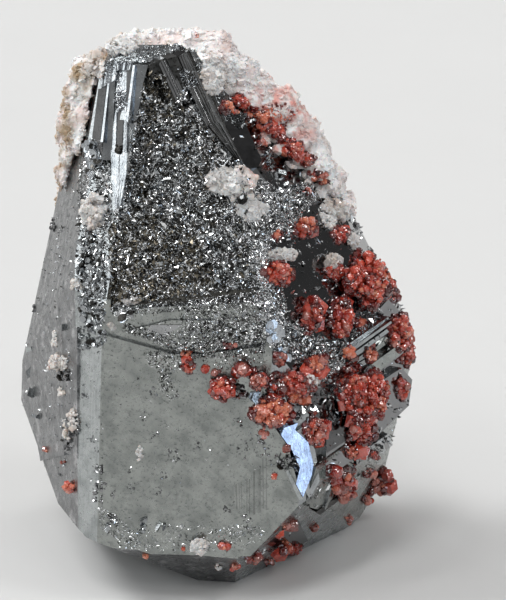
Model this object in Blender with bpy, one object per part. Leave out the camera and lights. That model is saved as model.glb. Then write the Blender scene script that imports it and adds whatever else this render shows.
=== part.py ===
"""Hematite crystal with red andradite garnets and a pale calcite crust, standing on its broken foot.

Lengths are in millimetres here, and finish() turns the meshes into metres. +Z is up and -Y is the front.
The crystal is described as a mineralogist would: each face by the way it looks and by its reach, the
distance from the crystal's centre. What grew on the faces is placed as it is seen from an eye point in
front of the specimen, by its distance across and up from the point that the eye looks at.
"""

import math
import random
from dataclasses import dataclass

import bmesh
import bpy
from mathutils import Matrix, Vector, noise
from mathutils.bvhtree import BVHTree

MM = 0.001
SEED = 41
GAP = 0.2
BLANK = 140.0
SUNK = 0.6
CRUST_THICKNESS = 2.2
CRUST_SUNK = 1.6
CRUST_FRONT = 7.0
CRUST_TOP_FRONT = -0.5
CRUST_SHOULDER = (32.0, 36.0)
CRUST_FOOT = 16.0
CRUST_EDGE = 2.4
CRUST_WANDER = 7.0
CRUST_DETAIL = 0.62
TOUCH = 1e-6
LEAN = 55.0
NUDGES = 5
NUDGE = Vector((0.004, 0.003, 0.005))

CENTRE = Vector((0.0, 0.0, 20.0))
LOOKED_AT = Vector((3.0, 0.0, 23.0))
CRUST_HEART = Vector((0.0, 1.5, 24.0))
EYE_DISTANCE = 300.0
EYE_ELEVATION = 18.0


@dataclass(frozen=True)
class Face:
    """One crystal face: where it looks, in degrees round from the front and up, and its reach."""

    azimuth: float
    tilt: float
    reach: float

    def normal(self):
        return direction(self.azimuth, self.tilt)


@dataclass(frozen=True)
class Plate:
    """A flat growth layer on a face: its outline as seen from the eye, and how far it stands proud."""

    face: str
    height: float
    outline: tuple


@dataclass(frozen=True)
class Bar:
    """A straight raised rib on a face, from start to end."""

    face: str
    start: tuple
    end: tuple
    width: float
    height: float


@dataclass(frozen=True)
class Druse:
    """A patch of small hematite plates, scattered inside an ellipse."""

    across: float
    up: float
    width: float
    height: float
    count: int
    radius: float
    azimuth: float = 0.0


@dataclass(frozen=True)
class Cluster:
    """Garnets grown together, or a calcite grain, inside an ellipse on the specimen."""

    across: float
    up: float
    width: float
    height: float
    count: int
    radius: float
    azimuth: float = 0.0


@dataclass(frozen=True)
class Lump:
    """One rounded mass of the calcite crust: its place as seen from the eye, its depth and radius."""

    across: float
    up: float
    depth: float
    radius: float
    flatten: float = 1.0


# The faces of the hematite crystal
FACES = {
    "front": Face(-3, 1, 11.0),
    "druse": Face(-2, 20, 12.3),
    "bevel_left": Face(-42, 2, 14.1),
    "bars": Face(-38, 21.5, 15.1),
    "left": Face(-68, 1, 13.9),
    "left_mid": Face(-72, 10, 14.5),
    "left_top": Face(-80, 14, 14.4),
    "left_low": Face(-82, -20.5, 17.8),
    "left_base": Face(-72, -41, 19.6),
    "right_dark": Face(48, 17, 11.2),
    "right_mid": Face(54, 2, 11.8),
    "slab": Face(30, 29.5, 13.5),
    "right_top": Face(75, 38.5, 13.6),
    "right_up": Face(84, 30.5, 13.9),
    "right_side": Face(88, 6, 15.9),
    "glint": Face(24, 0, 12.1),
    "facet_low_right": Face(65, -19, 14.2),
    "bottom_right": Face(52, -38, 16.3),
    "bottom": Face(-8, -50, 19.2),
    "base_left": Face(-48, -60, 19.9),
    "base": Face(0, -90, 20.0),
    "cap": Face(-14, 58, 23.6),
    "top": Face(0, 90, 25.2),
    "back": Face(176, 4, 12.5),
    "back_left": Face(-125, 5, 15.8),
    "back_right": Face(130, 10, 13.5),
    "back_top": Face(180, 35, 14.0),
    "back_low": Face(180, -40, 17.5),
}

# Growth layers: the smooth front, the terraces over it and the stacked plates low on the right
PLATES = (
    Plate("front", 0.45, (
        (-12.5, -2.8), (-6.8, -4.4), (-4.4, -4.4), (0.8, -3.8), (0.8, -8.4), (1.8, -10.5), (3.0, -12.2),
        (3.4, -13.9), (4.0, -16.0), (3.8, -17.2), (-0.2, -21.4), (-8.6, -21.2), (-12.6, -19.9),
    )),
    Plate("front", 0.75, (
        (-11.8, -1.0), (-8.6, -0.4), (-4.0, -0.2), (0.6, 0.0), (1.8, -2.4), (-1.0, -3.6), (-4.0, -4.2),
        (-7.6, -3.6),
    )),
    Plate("front", 1.0, (
        (-10.4, -2.3), (-7.0, -1.4), (-3.2, -1.4), (-1.2, -2.5), (-4.0, -3.7), (-7.2, -3.5),
    )),
    Plate("right_mid", 0.6, (
        (5.6, -15.0), (7.8, -13.4), (12.6, -8.8), (12.9, -6.6), (12.0, -5.6), (8.4, -8.0), (5.7, -11.2),
    )),
    Plate("right_mid", 0.5, ((8.2, -6.2), (12.2, -2.4), (12.8, -3.9), (8.6, -7.4))),
    Plate("right_mid", 0.9, ((8.9, -6.0), (12.1, -3.2), (12.4, -3.6), (9.1, -6.6))),
    Plate("facet_low_right", 0.5, ((6.2, -15.6), (10.2, -11.9), (10.8, -13.0), (7.4, -18.0), (5.6, -17.4))),
    Plate("glint", 0.3, ((2.7, -11.6), (4.0, -10.6), (5.1, -12.5), (5.5, -15.1), (4.6, -16.6), (3.8, -15.0))),
    Plate("left", 0.3, ((-18.2, -3.0), (-15.8, -2.0), (-15.6, -13.0), (-17.6, -13.5), (-18.6, -8.0))),
    Plate("back", 0.8, ((-6.0, -7.5), (4.0, -6.5), (6.0, -10.0), (1.0, -13.5), (-6.5, -12.0))),
)

# Ribs: the bright bars high on the left and the striated slab high on the right
BARS = (
    Bar("bars", (-12.4, 18.5), (-13.4, 13.0), 0.55, 0.5),
    Bar("bars", (-11.8, 19.7), (-12.8, 11.8), 1.0, 0.75),
    Bar("bars", (-11.0, 19.6), (-11.3, 12.6), 0.55, 0.55),
    Bar("bars", (-9.6, 19.6), (-10.2, 15.0), 1.15, 0.85),
    Bar("bars", (-10.4, 14.7), (-11.1, 8.4), 0.6, 0.5),
    Bar("slab", (-6.6, 20.2), (-1.3, 11.4), 0.5, 0.45),
    Bar("slab", (-6.0, 20.5), (-0.7, 11.6), 0.5, 0.8),
    Bar("slab", (-5.3, 20.8), (-0.2, 12.4), 0.45, 0.5),
)

# The hollow under the cap and the shallow bed of the rough zone, as outlines with their depths
NOTCH = Plate("druse", 1.5, ((-8.8, 19.6), (-5.9, 20.9), (-4.6, 18.6), (-4.6, 16.4), (-6.8, 16.0), (-8.0, 17.0)))
BED = Plate("druse", 0.6, (
    (-10.4, 12.0), (-9.0, 16.6), (-7.2, 16.2), (-4.8, 15.4), (-1.6, 10.8), (0.0, 5.5), (0.4, 0.8),
    (-6.2, 0.1), (-12.0, -0.8), (-11.8, 4.0),
))
NOTCH_RIB = Bar("druse", (-7.7, 20.2), (-6.4, 16.2), 1.0, 0.1)

DRUSES = (
    Druse(-6.6, 9.4, 6.4, 8.0, 26, 0.7),
    Druse(-5.6, 3.2, 11.0, 4.6, 27, 0.7),
    Druse(-13.4, 3.4, 2.2, 5.0, 5, 0.55),
    Druse(1.1, 5.6, 1.2, 1.8, 3, 0.55),
    Druse(1.9, -0.4, 1.2, 1.6, 3, 0.55),
    Druse(2.6, -3.4, 2.2, 3.6, 5, 0.55),
    Druse(8.0, -4.4, 6.0, 2.0, 5, 0.55),
    Druse(2.8, 9.6, 3.0, 3.0, 5, 0.6),
    Druse(-9.4, -19.0, 6.0, 1.0, 5, 0.45),
    Druse(6.0, -13.0, 8.0, 5.0, 4, 0.8, azimuth=180.0),
    Druse(3.0, -8.0, 8.0, 8.0, 4, 0.7, azimuth=-100.0),
)

LUMPS = (
    Lump(-13.3, 18.5, 3.4, 2.1), Lump(-12.4, 19.4, 3.0, 1.7), Lump(-14.0, 17.0, 3.6, 2.0),
    Lump(-14.4, 14.8, 3.6, 2.1), Lump(-14.8, 12.6, 4.2, 1.8), Lump(-15.2, 10.4, 4.6, 1.6),
    Lump(-10.6, 20.6, 3.4, 1.8), Lump(-8.6, 20.9, 3.8, 1.9), Lump(-7.0, 21.1, 3.6, 1.7),
    Lump(-5.4, 20.7, 3.8, 2.3), Lump(-3.4, 20.2, 3.4, 2.4), Lump(-1.7, 18.8, 3.6, 2.5),
    Lump(0.2, 17.0, 3.4, 2.3), Lump(1.6, 15.6, 3.2, 2.5), Lump(3.0, 13.8, 3.0, 2.4),
    Lump(4.9, 11.8, 3.2, 2.1), Lump(6.2, 9.8, 3.6, 1.8), Lump(7.3, 7.8, 4.2, 1.5),
)

CALCITE_PATCHES = {
    "calcite_patch_brow": Cluster(-1.4, 9.2, 2.4, 2.8, 4, 1.1),
    "calcite_patch_left_high": Cluster(-13.3, 7.3, 1.2, 3.0, 4, 0.9),
    "calcite_patch_left_mid": Cluster(-16.2, -5.2, 0.9, 1.8, 3, 0.8),
    "calcite_patch_left_low": Cluster(-15.3, -10.4, 0.7, 2.0, 3, 0.65),
    "calcite_patch_right_high": Cluster(6.9, 7.3, 1.4, 2.2, 4, 0.95),
    "calcite_patch_right_mid": Cluster(6.5, 3.3, 1.0, 0.6, 2, 0.8),
    "calcite_patch_plate": Cluster(2.2, 3.6, 1.8, 1.0, 3, 0.7),
    "calcite_patch_foot": Cluster(-4.7, -20.4, 0.8, 0.6, 2, 0.75),
}

GARNETS = {
    "andradite_front_single": Cluster(-2.6, -7.5, 1.4, 0.8, 3, 0.95),
    "andradite_front_bead": Cluster(-1.2, -5.9, 0.6, 0.2, 1, 0.75),
    "andradite_front_small": Cluster(-5.6, -5.0, 0.5, 1.0, 2, 0.6),
    "andradite_ridge": Cluster(2.1, 2.1, 1.8, 1.2, 4, 0.8),
    "andradite_upper_ridge": Cluster(4.6, 5.8, 1.1, 1.2, 3, 0.8),
    "andradite_middle_left": Cluster(5.0, -1.3, 1.0, 1.8, 4, 0.85),
    "andradite_middle_right": Cluster(7.5, -1.4, 0.8, 2.4, 4, 0.85),
    "andradite_shoulder": Cluster(9.3, 1.6, 3.6, 3.6, 10, 1.1),
    "andradite_right_edge": Cluster(12.0, -2.9, 0.8, 2.2, 4, 0.9),
    "andradite_below_patch": Cluster(7.6, 5.3, 0.8, 0.6, 2, 0.75),
    "andradite_band_top": Cluster(-1.4, 16.4, 1.0, 0.6, 2, 0.8),
    "andradite_band_upper": Cluster(1.0, 14.8, 0.8, 0.9, 3, 0.75),
    "andradite_band_lower": Cluster(3.5, 12.4, 1.2, 1.4, 3, 0.8),
    "andradite_centre_brown": Cluster(0.4, -6.8, 1.0, 0.7, 3, 0.75),
    "andradite_centre": Cluster(1.5, -9.0, 2.4, 1.4, 6, 0.95),
    "andradite_centre_right": Cluster(4.2, -6.0, 2.4, 2.2, 6, 0.95),
    "andradite_glint_edge": Cluster(5.4, -11.0, 1.2, 1.8, 4, 0.85),
    "andradite_right_mass": Cluster(9.5, -8.6, 4.6, 4.0, 13, 1.1),
    "andradite_right_tail": Cluster(8.9, -12.7, 1.2, 1.0, 3, 0.8),
    "andradite_right_small": Cluster(9.6, -3.9, 0.6, 0.5, 1, 0.7),
    "andradite_four_beads": Cluster(7.5, -15.4, 1.3, 1.6, 4, 0.85),
    "andradite_low_right": Cluster(10.6, -15.2, 1.6, 1.4, 5, 0.85),
    "andradite_foot": Cluster(2.8, -21.0, 2.4, 0.5, 4, 0.8),
    "andradite_foot_bead": Cluster(2.1, -19.5, 0.3, 0.2, 1, 0.5),
    "andradite_foot_left": Cluster(-2.6, -20.6, 0.5, 0.2, 1, 0.5),
    "andradite_left_low": Cluster(-15.3, -15.6, 0.4, 0.4, 1, 0.55),
    "andradite_back_high": Cluster(2.5, 8.0, 2.4, 2.0, 5, 0.95, azimuth=170.0),
    "andradite_back_low": Cluster(-7.0, -12.0, 2.2, 2.2, 5, 0.9, azimuth=185.0),
    "andradite_side_back": Cluster(-2.0, -2.0, 1.6, 2.6, 4, 0.9, azimuth=115.0),
}


def direction(azimuth, tilt):
    """The unit vector that looks azimuth degrees round from the front, towards +X, and tilt degrees up."""
    turn, rise = math.radians(azimuth), math.radians(tilt)
    return Vector((math.sin(turn) * math.cos(rise), -math.cos(turn) * math.cos(rise), math.sin(rise)))


def sight(across, up, azimuth=0.0):
    """(eye, direction) of the sight line that passes across and up from the point looked at."""
    towards_eye = direction(azimuth, EYE_ELEVATION)
    rightwards = Vector((0, 0, 1)).cross(towards_eye).normalized()
    upwards = towards_eye.cross(rightwards)
    aim = LOOKED_AT if azimuth == 0.0 else CENTRE
    eye = aim + towards_eye * EYE_DISTANCE
    return eye, (aim + rightwards * across + upwards * up - eye).normalized()


def on_plane(face, across, up):
    """The point where that sight line meets the plane of a crystal face."""
    eye, ray = sight(across, up)
    normal = face.normal()
    return eye + ray * ((face.reach - normal.dot(eye - CENTRE)) / normal.dot(ray))


def at_depth(across, up, depth):
    """The point of that sight line at a depth, which is its y."""
    eye, ray = sight(across, up)
    return eye + ray * ((depth - eye.y) / ray.y)


def clear_scene():
    for obj in list(bpy.data.objects):
        bpy.data.objects.remove(obj)


def material(name, colour, roughness, metallic):
    made = bpy.data.materials.new(name)
    made.use_nodes = True
    shader = made.node_tree.nodes["Principled BSDF"]
    shader.inputs["Base Color"].default_value = (*colour, 1.0)
    shader.inputs["Roughness"].default_value = roughness
    shader.inputs["Metallic"].default_value = metallic
    return made


def as_object(name, mesh):
    """A new object in the scene that holds this bmesh."""
    data = bpy.data.meshes.new(name)
    mesh.to_mesh(data)
    mesh.free()
    obj = bpy.data.objects.new(name, data)
    bpy.context.scene.collection.objects.link(obj)
    return obj


def modified(obj):
    """A mesh of the object as its modifiers leave it."""
    graph = bpy.context.evaluated_depsgraph_get()
    return bpy.data.meshes.new_from_object(obj.evaluated_get(graph))


def is_closed(data):
    """Whether every edge joins two faces."""
    mesh = bmesh.new()
    mesh.from_mesh(data)
    closed = len(mesh.faces) > 0 and all(len(edge.link_faces) == 2 for edge in mesh.edges)
    mesh.free()
    return closed


def combine(obj, other, operation):
    """Joins other to obj, or cuts it away, and removes other. A nudge frees faces that lie in one plane."""
    modifier = obj.modifiers.new(operation, "BOOLEAN")
    modifier.operation = operation
    modifier.object = other
    modifier.use_self = operation == "UNION"
    result = modified(obj)
    for _ in range(NUDGES):
        if is_closed(result):
            break
        other.data.transform(Matrix.Translation(NUDGE))
        result = modified(obj)
    obj.modifiers.clear()
    obj.data = result
    bpy.data.objects.remove(other)


def thin_out(obj, ratio):
    """Keeps this share of the object's triangles."""
    obj.modifiers.new("thin out", "DECIMATE").ratio = ratio
    result = modified(obj)
    obj.modifiers.clear()
    obj.data = result


def joined(meshes):
    """One bmesh that holds all of these, still overlapping."""
    whole = bmesh.new()
    for mesh in meshes:
        held = bpy.data.meshes.new("held")
        mesh.to_mesh(held)
        mesh.free()
        whole.from_mesh(held)
        bpy.data.meshes.remove(held)
    return whole


def copy_of(obj):
    twin = bpy.data.objects.new(obj.name + "_copy", obj.data.copy())
    bpy.context.scene.collection.objects.link(twin)
    return twin


def leaning(outwards):
    """Four ways that lean from the outward way to each side."""
    side = outwards.orthogonal().normalized()
    other = outwards.cross(side)
    lean = math.radians(LEAN)
    return [outwards * math.cos(lean) + way * math.sin(lean) for way in (side, -side, other, -other)]


def carve(body, host, ways):
    """Cuts the host out of the body with a gap: once as it stands, then moved by the gap along each way."""
    for way in (Vector(), *ways):
        twin = copy_of(host)
        twin.data.transform(Matrix.Translation(way * GAP))
        combine(body, twin, "DIFFERENCE")


def meets(body, host):
    return bool(surface_of(body).overlap(surface_of(host)))


def convex_block(faces, grow=0.0):
    """The convex crystal that lies inside every face, each moved out by grow."""
    mesh = bmesh.new()
    bmesh.ops.create_cube(mesh, size=BLANK, matrix=Matrix.Translation(CENTRE))
    for face in faces.values():
        normal = face.normal()
        cut = bmesh.ops.bisect_plane(
            mesh,
            geom=mesh.verts[:] + mesh.edges[:] + mesh.faces[:],
            dist=TOUCH,
            plane_co=CENTRE + normal * (face.reach + grow),
            plane_no=normal,
            clear_outer=True,
        )
        rim = [item for item in cut["geom_cut"] if isinstance(item, bmesh.types.BMEdge)]
        bmesh.ops.contextual_create(mesh, geom=rim)
    bmesh.ops.recalc_face_normals(mesh, faces=mesh.faces[:])
    return mesh


def prism(corners, lift, sink):
    """A flat-sided solid over a ring of corners, from sink below them to lift above."""
    mesh = bmesh.new()
    floor = mesh.faces.new([mesh.verts.new(corner + sink) for corner in corners])
    walls = bmesh.ops.extrude_face_region(mesh, geom=[floor])
    top = [item for item in walls["geom"] if isinstance(item, bmesh.types.BMVert)]
    bmesh.ops.translate(mesh, verts=top, vec=lift - sink)
    bmesh.ops.recalc_face_normals(mesh, faces=mesh.faces[:])
    return mesh


def plate_solid(plate):
    face = FACES[plate.face]
    corners = [on_plane(face, across, up) for across, up in plate.outline]
    return prism(corners, face.normal() * plate.height, face.normal() * -SUNK)


def pocket_solid(plate):
    """The cutter of a pocket: it reaches the plate's height below the face, and well above it."""
    face = FACES[plate.face]
    corners = [on_plane(face, across, up) for across, up in plate.outline]
    return prism(corners, face.normal() * BLANK, face.normal() * -plate.height)


def bar_solid(bar, sunk=SUNK):
    face = FACES[bar.face]
    start, end = on_plane(face, *bar.start), on_plane(face, *bar.end)
    side = face.normal().cross(end - start).normalized() * (bar.width / 2)
    corners = [start + side, start - side, end - side, end + side]
    return prism(corners, face.normal() * bar.height, face.normal() * -sunk)


def blade(centre, radius, thickness, turn):
    """A four-sided plate of hematite, the shape of the small crystals."""
    mesh = bmesh.new()
    bmesh.ops.create_cone(
        mesh, cap_ends=True, segments=4, radius1=radius, radius2=radius * 0.8, depth=thickness,
        matrix=Matrix.Translation(centre) @ turn @ Matrix.Diagonal((1.0, 0.62, 1.0, 1.0)),
    )
    return mesh


def dodecahedron(centre, radius, turn):
    """A rhombic dodecahedron, the habit of garnet, as the hull of its fourteen corners."""
    half = radius / 2
    cube = [Vector((x, y, z)) * half for x in (-1, 1) for y in (-1, 1) for z in (-1, 1)]
    tips = [axis * (radius * sign) for axis in Matrix.Identity(3) for sign in (-1, 1)]
    mesh = bmesh.new()
    for corner in cube + tips:
        mesh.verts.new(corner)
    bmesh.ops.convex_hull(mesh, input=mesh.verts[:])
    bmesh.ops.dissolve_limit(mesh, angle_limit=math.radians(1), verts=mesh.verts[:], edges=mesh.edges[:])
    bmesh.ops.transform(mesh, matrix=Matrix.Translation(centre) @ turn, verts=mesh.verts[:])
    return mesh


def chunk(centre, radius, flatten, chance, divisions=2):
    """A rounded, uneven lump."""
    mesh = bmesh.new()
    bmesh.ops.create_icosphere(mesh, subdivisions=divisions, radius=radius)
    for vert in mesh.verts:
        vert.co *= chance.uniform(0.86, 1.1)
        vert.co.y *= flatten
    turn = any_turn(chance) if flatten == 1.0 else Matrix.Identity(4)
    bmesh.ops.transform(mesh, matrix=Matrix.Translation(centre) @ turn, verts=mesh.verts[:])
    return mesh


def any_turn(chance):
    return Matrix.Rotation(chance.uniform(0, math.tau), 4, Vector((
        chance.uniform(-1, 1), chance.uniform(-1, 1), chance.uniform(-1, 1),
    )).normalized())


def surface_of(obj):
    mesh = bmesh.new()
    mesh.from_mesh(obj.data)
    tree = BVHTree.FromBMesh(mesh)
    mesh.free()
    return tree


def inside_ellipse(chance, width, height):
    """A chance offset inside an ellipse of that width and height."""
    spread, turn = math.sqrt(chance.random()), chance.uniform(0, math.tau)
    return width / 2 * spread * math.cos(turn), height / 2 * spread * math.sin(turn)


def grow_druse(crystal, druse, chance):
    """Fuses one patch of small plates to the crystal."""
    surface, plates = surface_of(crystal), []
    for _ in range(druse.count):
        across, up = inside_ellipse(chance, druse.width, druse.height)
        point, normal, _, _ = surface.ray_cast(*sight(druse.across + across, druse.up + up, druse.azimuth))
        if point is not None:
            size = druse.radius * chance.uniform(0.8, 1.3)
            plates.append(blade(point + normal * size * 0.2, size, size * 0.5, any_turn(chance)))
    combine(crystal, as_object("plates", joined(plates)), "UNION")


def build_hematite(chance):
    crystal = as_object("hematite_crystal", convex_block(FACES))
    for pocket in (NOTCH, BED):
        combine(crystal, as_object("pocket", pocket_solid(pocket)), "DIFFERENCE")
    for plate in PLATES:
        combine(crystal, as_object("layer", plate_solid(plate)), "UNION")
    for bar in BARS:
        combine(crystal, as_object("rib", bar_solid(bar)), "UNION")
    combine(crystal, as_object("rib", bar_solid(NOTCH_RIB, sunk=2 * NOTCH.height)), "UNION")
    for druse in DRUSES:
        grow_druse(crystal, druse, chance)
    return crystal


def ramp(value, start, end):
    """0 up to start, 1 from end on, and a straight slope between them."""
    return max(0.0, min(1.0, (value - start) / (end - start)))


def crust_thickness(point):
    """How far the crust stands off the crystal at a point: nothing on the front, uneven on the back."""
    wander = noise.noise(point * 0.16) * CRUST_WANDER
    front = CRUST_FRONT - (CRUST_FRONT - CRUST_TOP_FRONT) * ramp(point.z, *CRUST_SHOULDER)
    cover = ramp(min(point.y - front, (point.z + wander - CRUST_FOOT) * 0.6), 0.0, CRUST_EDGE)
    uneven = 1.0 + 0.8 * noise.noise(point * 0.25) + 0.35 * noise.noise(point * 0.6)
    return CRUST_THICKNESS * uneven * cover - CRUST_SUNK * (1.0 - cover)


def crust_skin(crystal):
    """The sheet of calcite over the crystal's back, as a closed skin that is cut to the crystal later."""
    surface = surface_of(crystal)
    mesh = bmesh.new()
    bmesh.ops.create_icosphere(mesh, subdivisions=4, radius=1.0)
    for vert in mesh.verts:
        way = vert.co.normalized()
        point, _, _, _ = surface.ray_cast(CRUST_HEART, way)
        vert.co = point + way * crust_thickness(point)
    return mesh


def build_matrix(crystal, chance):
    """The calcite crust that the crystal grew on: it wraps the back and stands out round the top."""
    block = as_object("block", convex_block(FACES))
    crust = as_object("calcite_matrix", crust_skin(block))
    bpy.data.objects.remove(block)
    lumps = [
        chunk(at_depth(lump.across, lump.up, lump.depth), lump.radius, lump.flatten, chance)
        for lump in LUMPS
    ]
    combine(crust, as_object("lumps", joined(lumps)), "UNION")
    thin_out(crust, CRUST_DETAIL)
    combine(crust, as_object("crystal", convex_block(FACES, grow=GAP)), "DIFFERENCE")
    if meets(crust, crystal):
        carve(crust, crystal, [Vector(way) for way in ((1, 0, 0), (-1, 0, 0), (0, 1, 0), (0, 0, 1))])
    keep_largest(crust)
    return crust


def keep_largest(obj):
    """Drops the crumbs that a cut left beside the main body."""
    mesh = bmesh.new()
    mesh.from_mesh(obj.data)
    left, islands = set(mesh.faces), []
    while left:
        island, queue = [], [left.pop()]
        while queue:
            face = queue.pop()
            island.append(face)
            for neighbour in {near for edge in face.edges for near in edge.link_faces} & left:
                left.remove(neighbour)
                queue.append(neighbour)
        islands.append(island)
    islands.sort(key=lambda faces: sum(face.calc_area() for face in faces))
    crumbs = [face for island in islands[:-1] for face in island]
    bmesh.ops.delete(mesh, geom=crumbs, context="FACES")
    mesh.to_mesh(obj.data)
    mesh.free()


def seat(name, cluster, shape, hosts, chance):
    """Grows a cluster on the hosts: its crystals touch each other, are cut flush and stand a gap clear."""
    surfaces = [surface_of(host) for host in hosts]

    def meet(across, up):
        """The nearest hit of the sight line on any host, or None."""
        ray = sight(across, up, cluster.azimuth)
        hits = [surface.ray_cast(*ray) for surface in surfaces]
        return min((hit for hit in hits if hit[0] is not None), key=lambda hit: hit[3], default=None)

    distance, normals, grains = None, [], []
    for number in range(cluster.count):
        across, up = inside_ellipse(chance, cluster.width, cluster.height) if number else (0.0, 0.0)
        hit = meet(cluster.across + across, cluster.up + up)
        if hit is None:
            eye, ray = sight(cluster.across + across, cluster.up + up, cluster.azimuth)
            point, normal = eye + ray * distance, normals[0]
        else:
            point, normal, _, distance = hit
        size = cluster.radius * chance.uniform(0.8, 1.15)
        grains.append(shape(point + normal * size * 0.4, size, chance))
        normals.append(normal)
    body = as_object(name, grains[0])
    for grain in grains[1:]:
        combine(body, as_object("grain", grain), "UNION")
    outwards = sum(normals, Vector()).normalized()
    for host in hosts:
        if meets(body, host):
            carve(body, host, [outwards])
        if meets(body, host):
            carve(body, host, leaning(outwards))
    keep_largest(body)
    return body


def garnet(centre, size, chance):
    return dodecahedron(centre, size, any_turn(chance))


def grain_of_calcite(centre, size, chance):
    return chunk(centre, size, 1.0, chance, divisions=1)


def finish(parts, finishes):
    """Centres the specimen over the origin, turns millimetres into metres and dresses each part."""
    corners = [vert.co for part in parts for vert in part.data.vertices]
    middle = [(min(co[i] for co in corners) + max(co[i] for co in corners)) / 2 for i in range(2)]
    lowest = min(co.z for co in corners)
    to_metres = Matrix.Scale(MM, 4) @ Matrix.Translation((-middle[0], -middle[1], -lowest))
    for part in parts:
        part.data.transform(to_metres)
        part.data.materials.clear()
        part.data.materials.append(finishes[part.name.split("_")[0]])
    print("middle of the box, mm:", [round(value, 3) for value in middle], "lowest", round(lowest, 3))


def main():
    clear_scene()
    chance = random.Random(SEED)
    finishes = {
        "hematite": material("hematite_steel_grey", (0.16, 0.165, 0.17), 0.25, 1.0),
        "calcite": material("calcite_pale_pink", (0.74, 0.66, 0.62), 0.55, 0.0),
        "andradite": material("andradite_red", (0.42, 0.07, 0.03), 0.2, 0.0),
    }
    crystal = build_hematite(chance)
    crust = build_matrix(crystal, chance)
    parts = [crystal, crust]
    for name, cluster in CALCITE_PATCHES.items():
        parts.append(seat(name, cluster, grain_of_calcite, [crystal, crust], chance))
    patches = parts[2:]
    for name, cluster in GARNETS.items():
        parts.append(seat(name, cluster, garnet, [crystal, crust, *patches], chance))
    finish(parts, finishes)


main()
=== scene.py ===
"""The looks of a hematite crystal with red andradite and pale calcite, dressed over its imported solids.

Lengths are millimetres unless a name says otherwise, and meshes are handed to Blender in metres.
Small crystals are placed as the photograph shows them: a pixel column and row give a sight line, and the
crystal sits where that line meets the specimen. The sides and the back are covered in the same way from
other azimuths.
"""

import logging
import math
from collections.abc import Callable, Iterable
from dataclasses import dataclass
from enum import Enum
from itertools import permutations, product

import bmesh
import bpy
import numpy as np
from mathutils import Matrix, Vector, noise
from mathutils.bvhtree import BVHTree

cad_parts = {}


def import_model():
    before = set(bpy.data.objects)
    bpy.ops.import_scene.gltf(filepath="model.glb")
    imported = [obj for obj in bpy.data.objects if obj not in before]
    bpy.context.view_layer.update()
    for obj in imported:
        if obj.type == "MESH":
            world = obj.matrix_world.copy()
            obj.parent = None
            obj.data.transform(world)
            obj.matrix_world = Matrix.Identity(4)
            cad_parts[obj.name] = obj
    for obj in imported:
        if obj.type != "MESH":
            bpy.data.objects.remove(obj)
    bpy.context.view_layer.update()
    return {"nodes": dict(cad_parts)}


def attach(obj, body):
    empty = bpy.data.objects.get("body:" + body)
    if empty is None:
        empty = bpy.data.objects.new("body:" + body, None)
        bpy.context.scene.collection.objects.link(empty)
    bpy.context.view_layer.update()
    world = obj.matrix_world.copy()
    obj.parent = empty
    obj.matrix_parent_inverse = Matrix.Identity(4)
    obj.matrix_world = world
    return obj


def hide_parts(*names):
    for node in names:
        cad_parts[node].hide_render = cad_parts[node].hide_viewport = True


LOG = logging.getLogger("specimen")

MM = 0.001
SEED = 77
BODY = "root"
UNEVEN = 0.35
GRAIN = (1.0, 0.9, 0.7)
SIXTHS = tuple(math.tau * side / 6 for side in range(6))

Point = tuple[float, float]
Triple = tuple[float, float, float]
Outline = tuple[Point, ...]
Rings = tuple[tuple[int, ...], ...]
Socket = bpy.types.NodeSocket


def towards(azimuth: float, elevation: float) -> Vector:
    """The unit vector that looks azimuth degrees round from the front and elevation degrees up."""
    turn, rise = math.radians(azimuth), math.radians(elevation)
    return Vector((math.sin(turn) * math.cos(rise), -math.cos(turn) * math.cos(rise), math.sin(rise)))


def new_object(name: str, data: bpy.types.ID) -> bpy.types.Object:
    """Makes an object in the scene.

    Args:
        name: Its name.
        data: Its mesh or camera.

    Returns:
        The object.
    """
    made = bpy.data.objects.new(name, data)
    bpy.context.scene.collection.objects.link(made)
    return made


@dataclass(frozen=True)
class Sight:
    """The photograph's view: what it looks at, from how far and how high, and how big a pixel is there."""

    target: Triple = (3.21, -1.34, 23.0)
    distance: float = 300.0
    elevation: float = 18.0
    mm_per_pixel: float = 0.0841
    centre: Point = (253.0, 300.0)
    frame_height: float = 600.0
    sensor_mm: float = 36.0
    near_m: float = 0.005

    def axes(self, azimuth: float = 0.0) -> tuple[Vector, Vector, Vector]:
        """The view's rightward, upward and eyeward directions.

        Args:
            azimuth: How far round from the front the eye stands, in degrees.

        Returns:
            The three unit vectors.
        """
        eyeward = towards(azimuth, self.elevation)
        rightward = Vector((0, 0, 1)).cross(eyeward).normalized()
        return rightward, eyeward.cross(rightward), eyeward

    def line(self, column: float, row: float, azimuth: float = 0.0) -> tuple[Vector, Vector]:
        """The sight line through a pixel.

        Args:
            column: The pixel's column in the photograph.
            row: The pixel's row.
            azimuth: How far round from the front the eye stands, in degrees.

        Returns:
            The eye's place and the line's unit direction.
        """
        rightward, upward, eyeward = self.axes(azimuth)
        aim = Vector(self.target) if azimuth == 0.0 else Vector((0.0, 0.0, self.target[2]))
        eye = aim + eyeward * self.distance
        across = (column - self.centre[0]) * self.mm_per_pixel
        up = (self.centre[1] - row) * self.mm_per_pixel
        return eye, (aim + rightward * across + upward * up - eye).normalized()

    def make_camera(self) -> None:
        """Makes the camera of this view the scene's camera."""
        lens = bpy.data.cameras.new("camera")
        lens.sensor_fit = "VERTICAL"
        lens.sensor_height = lens.sensor_width = self.sensor_mm
        lens.lens = self.sensor_mm * self.distance / self.mm_per_pixel / self.frame_height
        lens.clip_start = self.near_m
        camera = new_object("camera", lens)
        eyeward = self.axes()[2]
        camera.location = (Vector(self.target) + eyeward * self.distance) * MM
        camera.rotation_euler = (-eyeward).to_track_quat("-Z", "Y").to_euler()
        bpy.context.scene.camera = camera


SIGHT = Sight()


# Finishes


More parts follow.
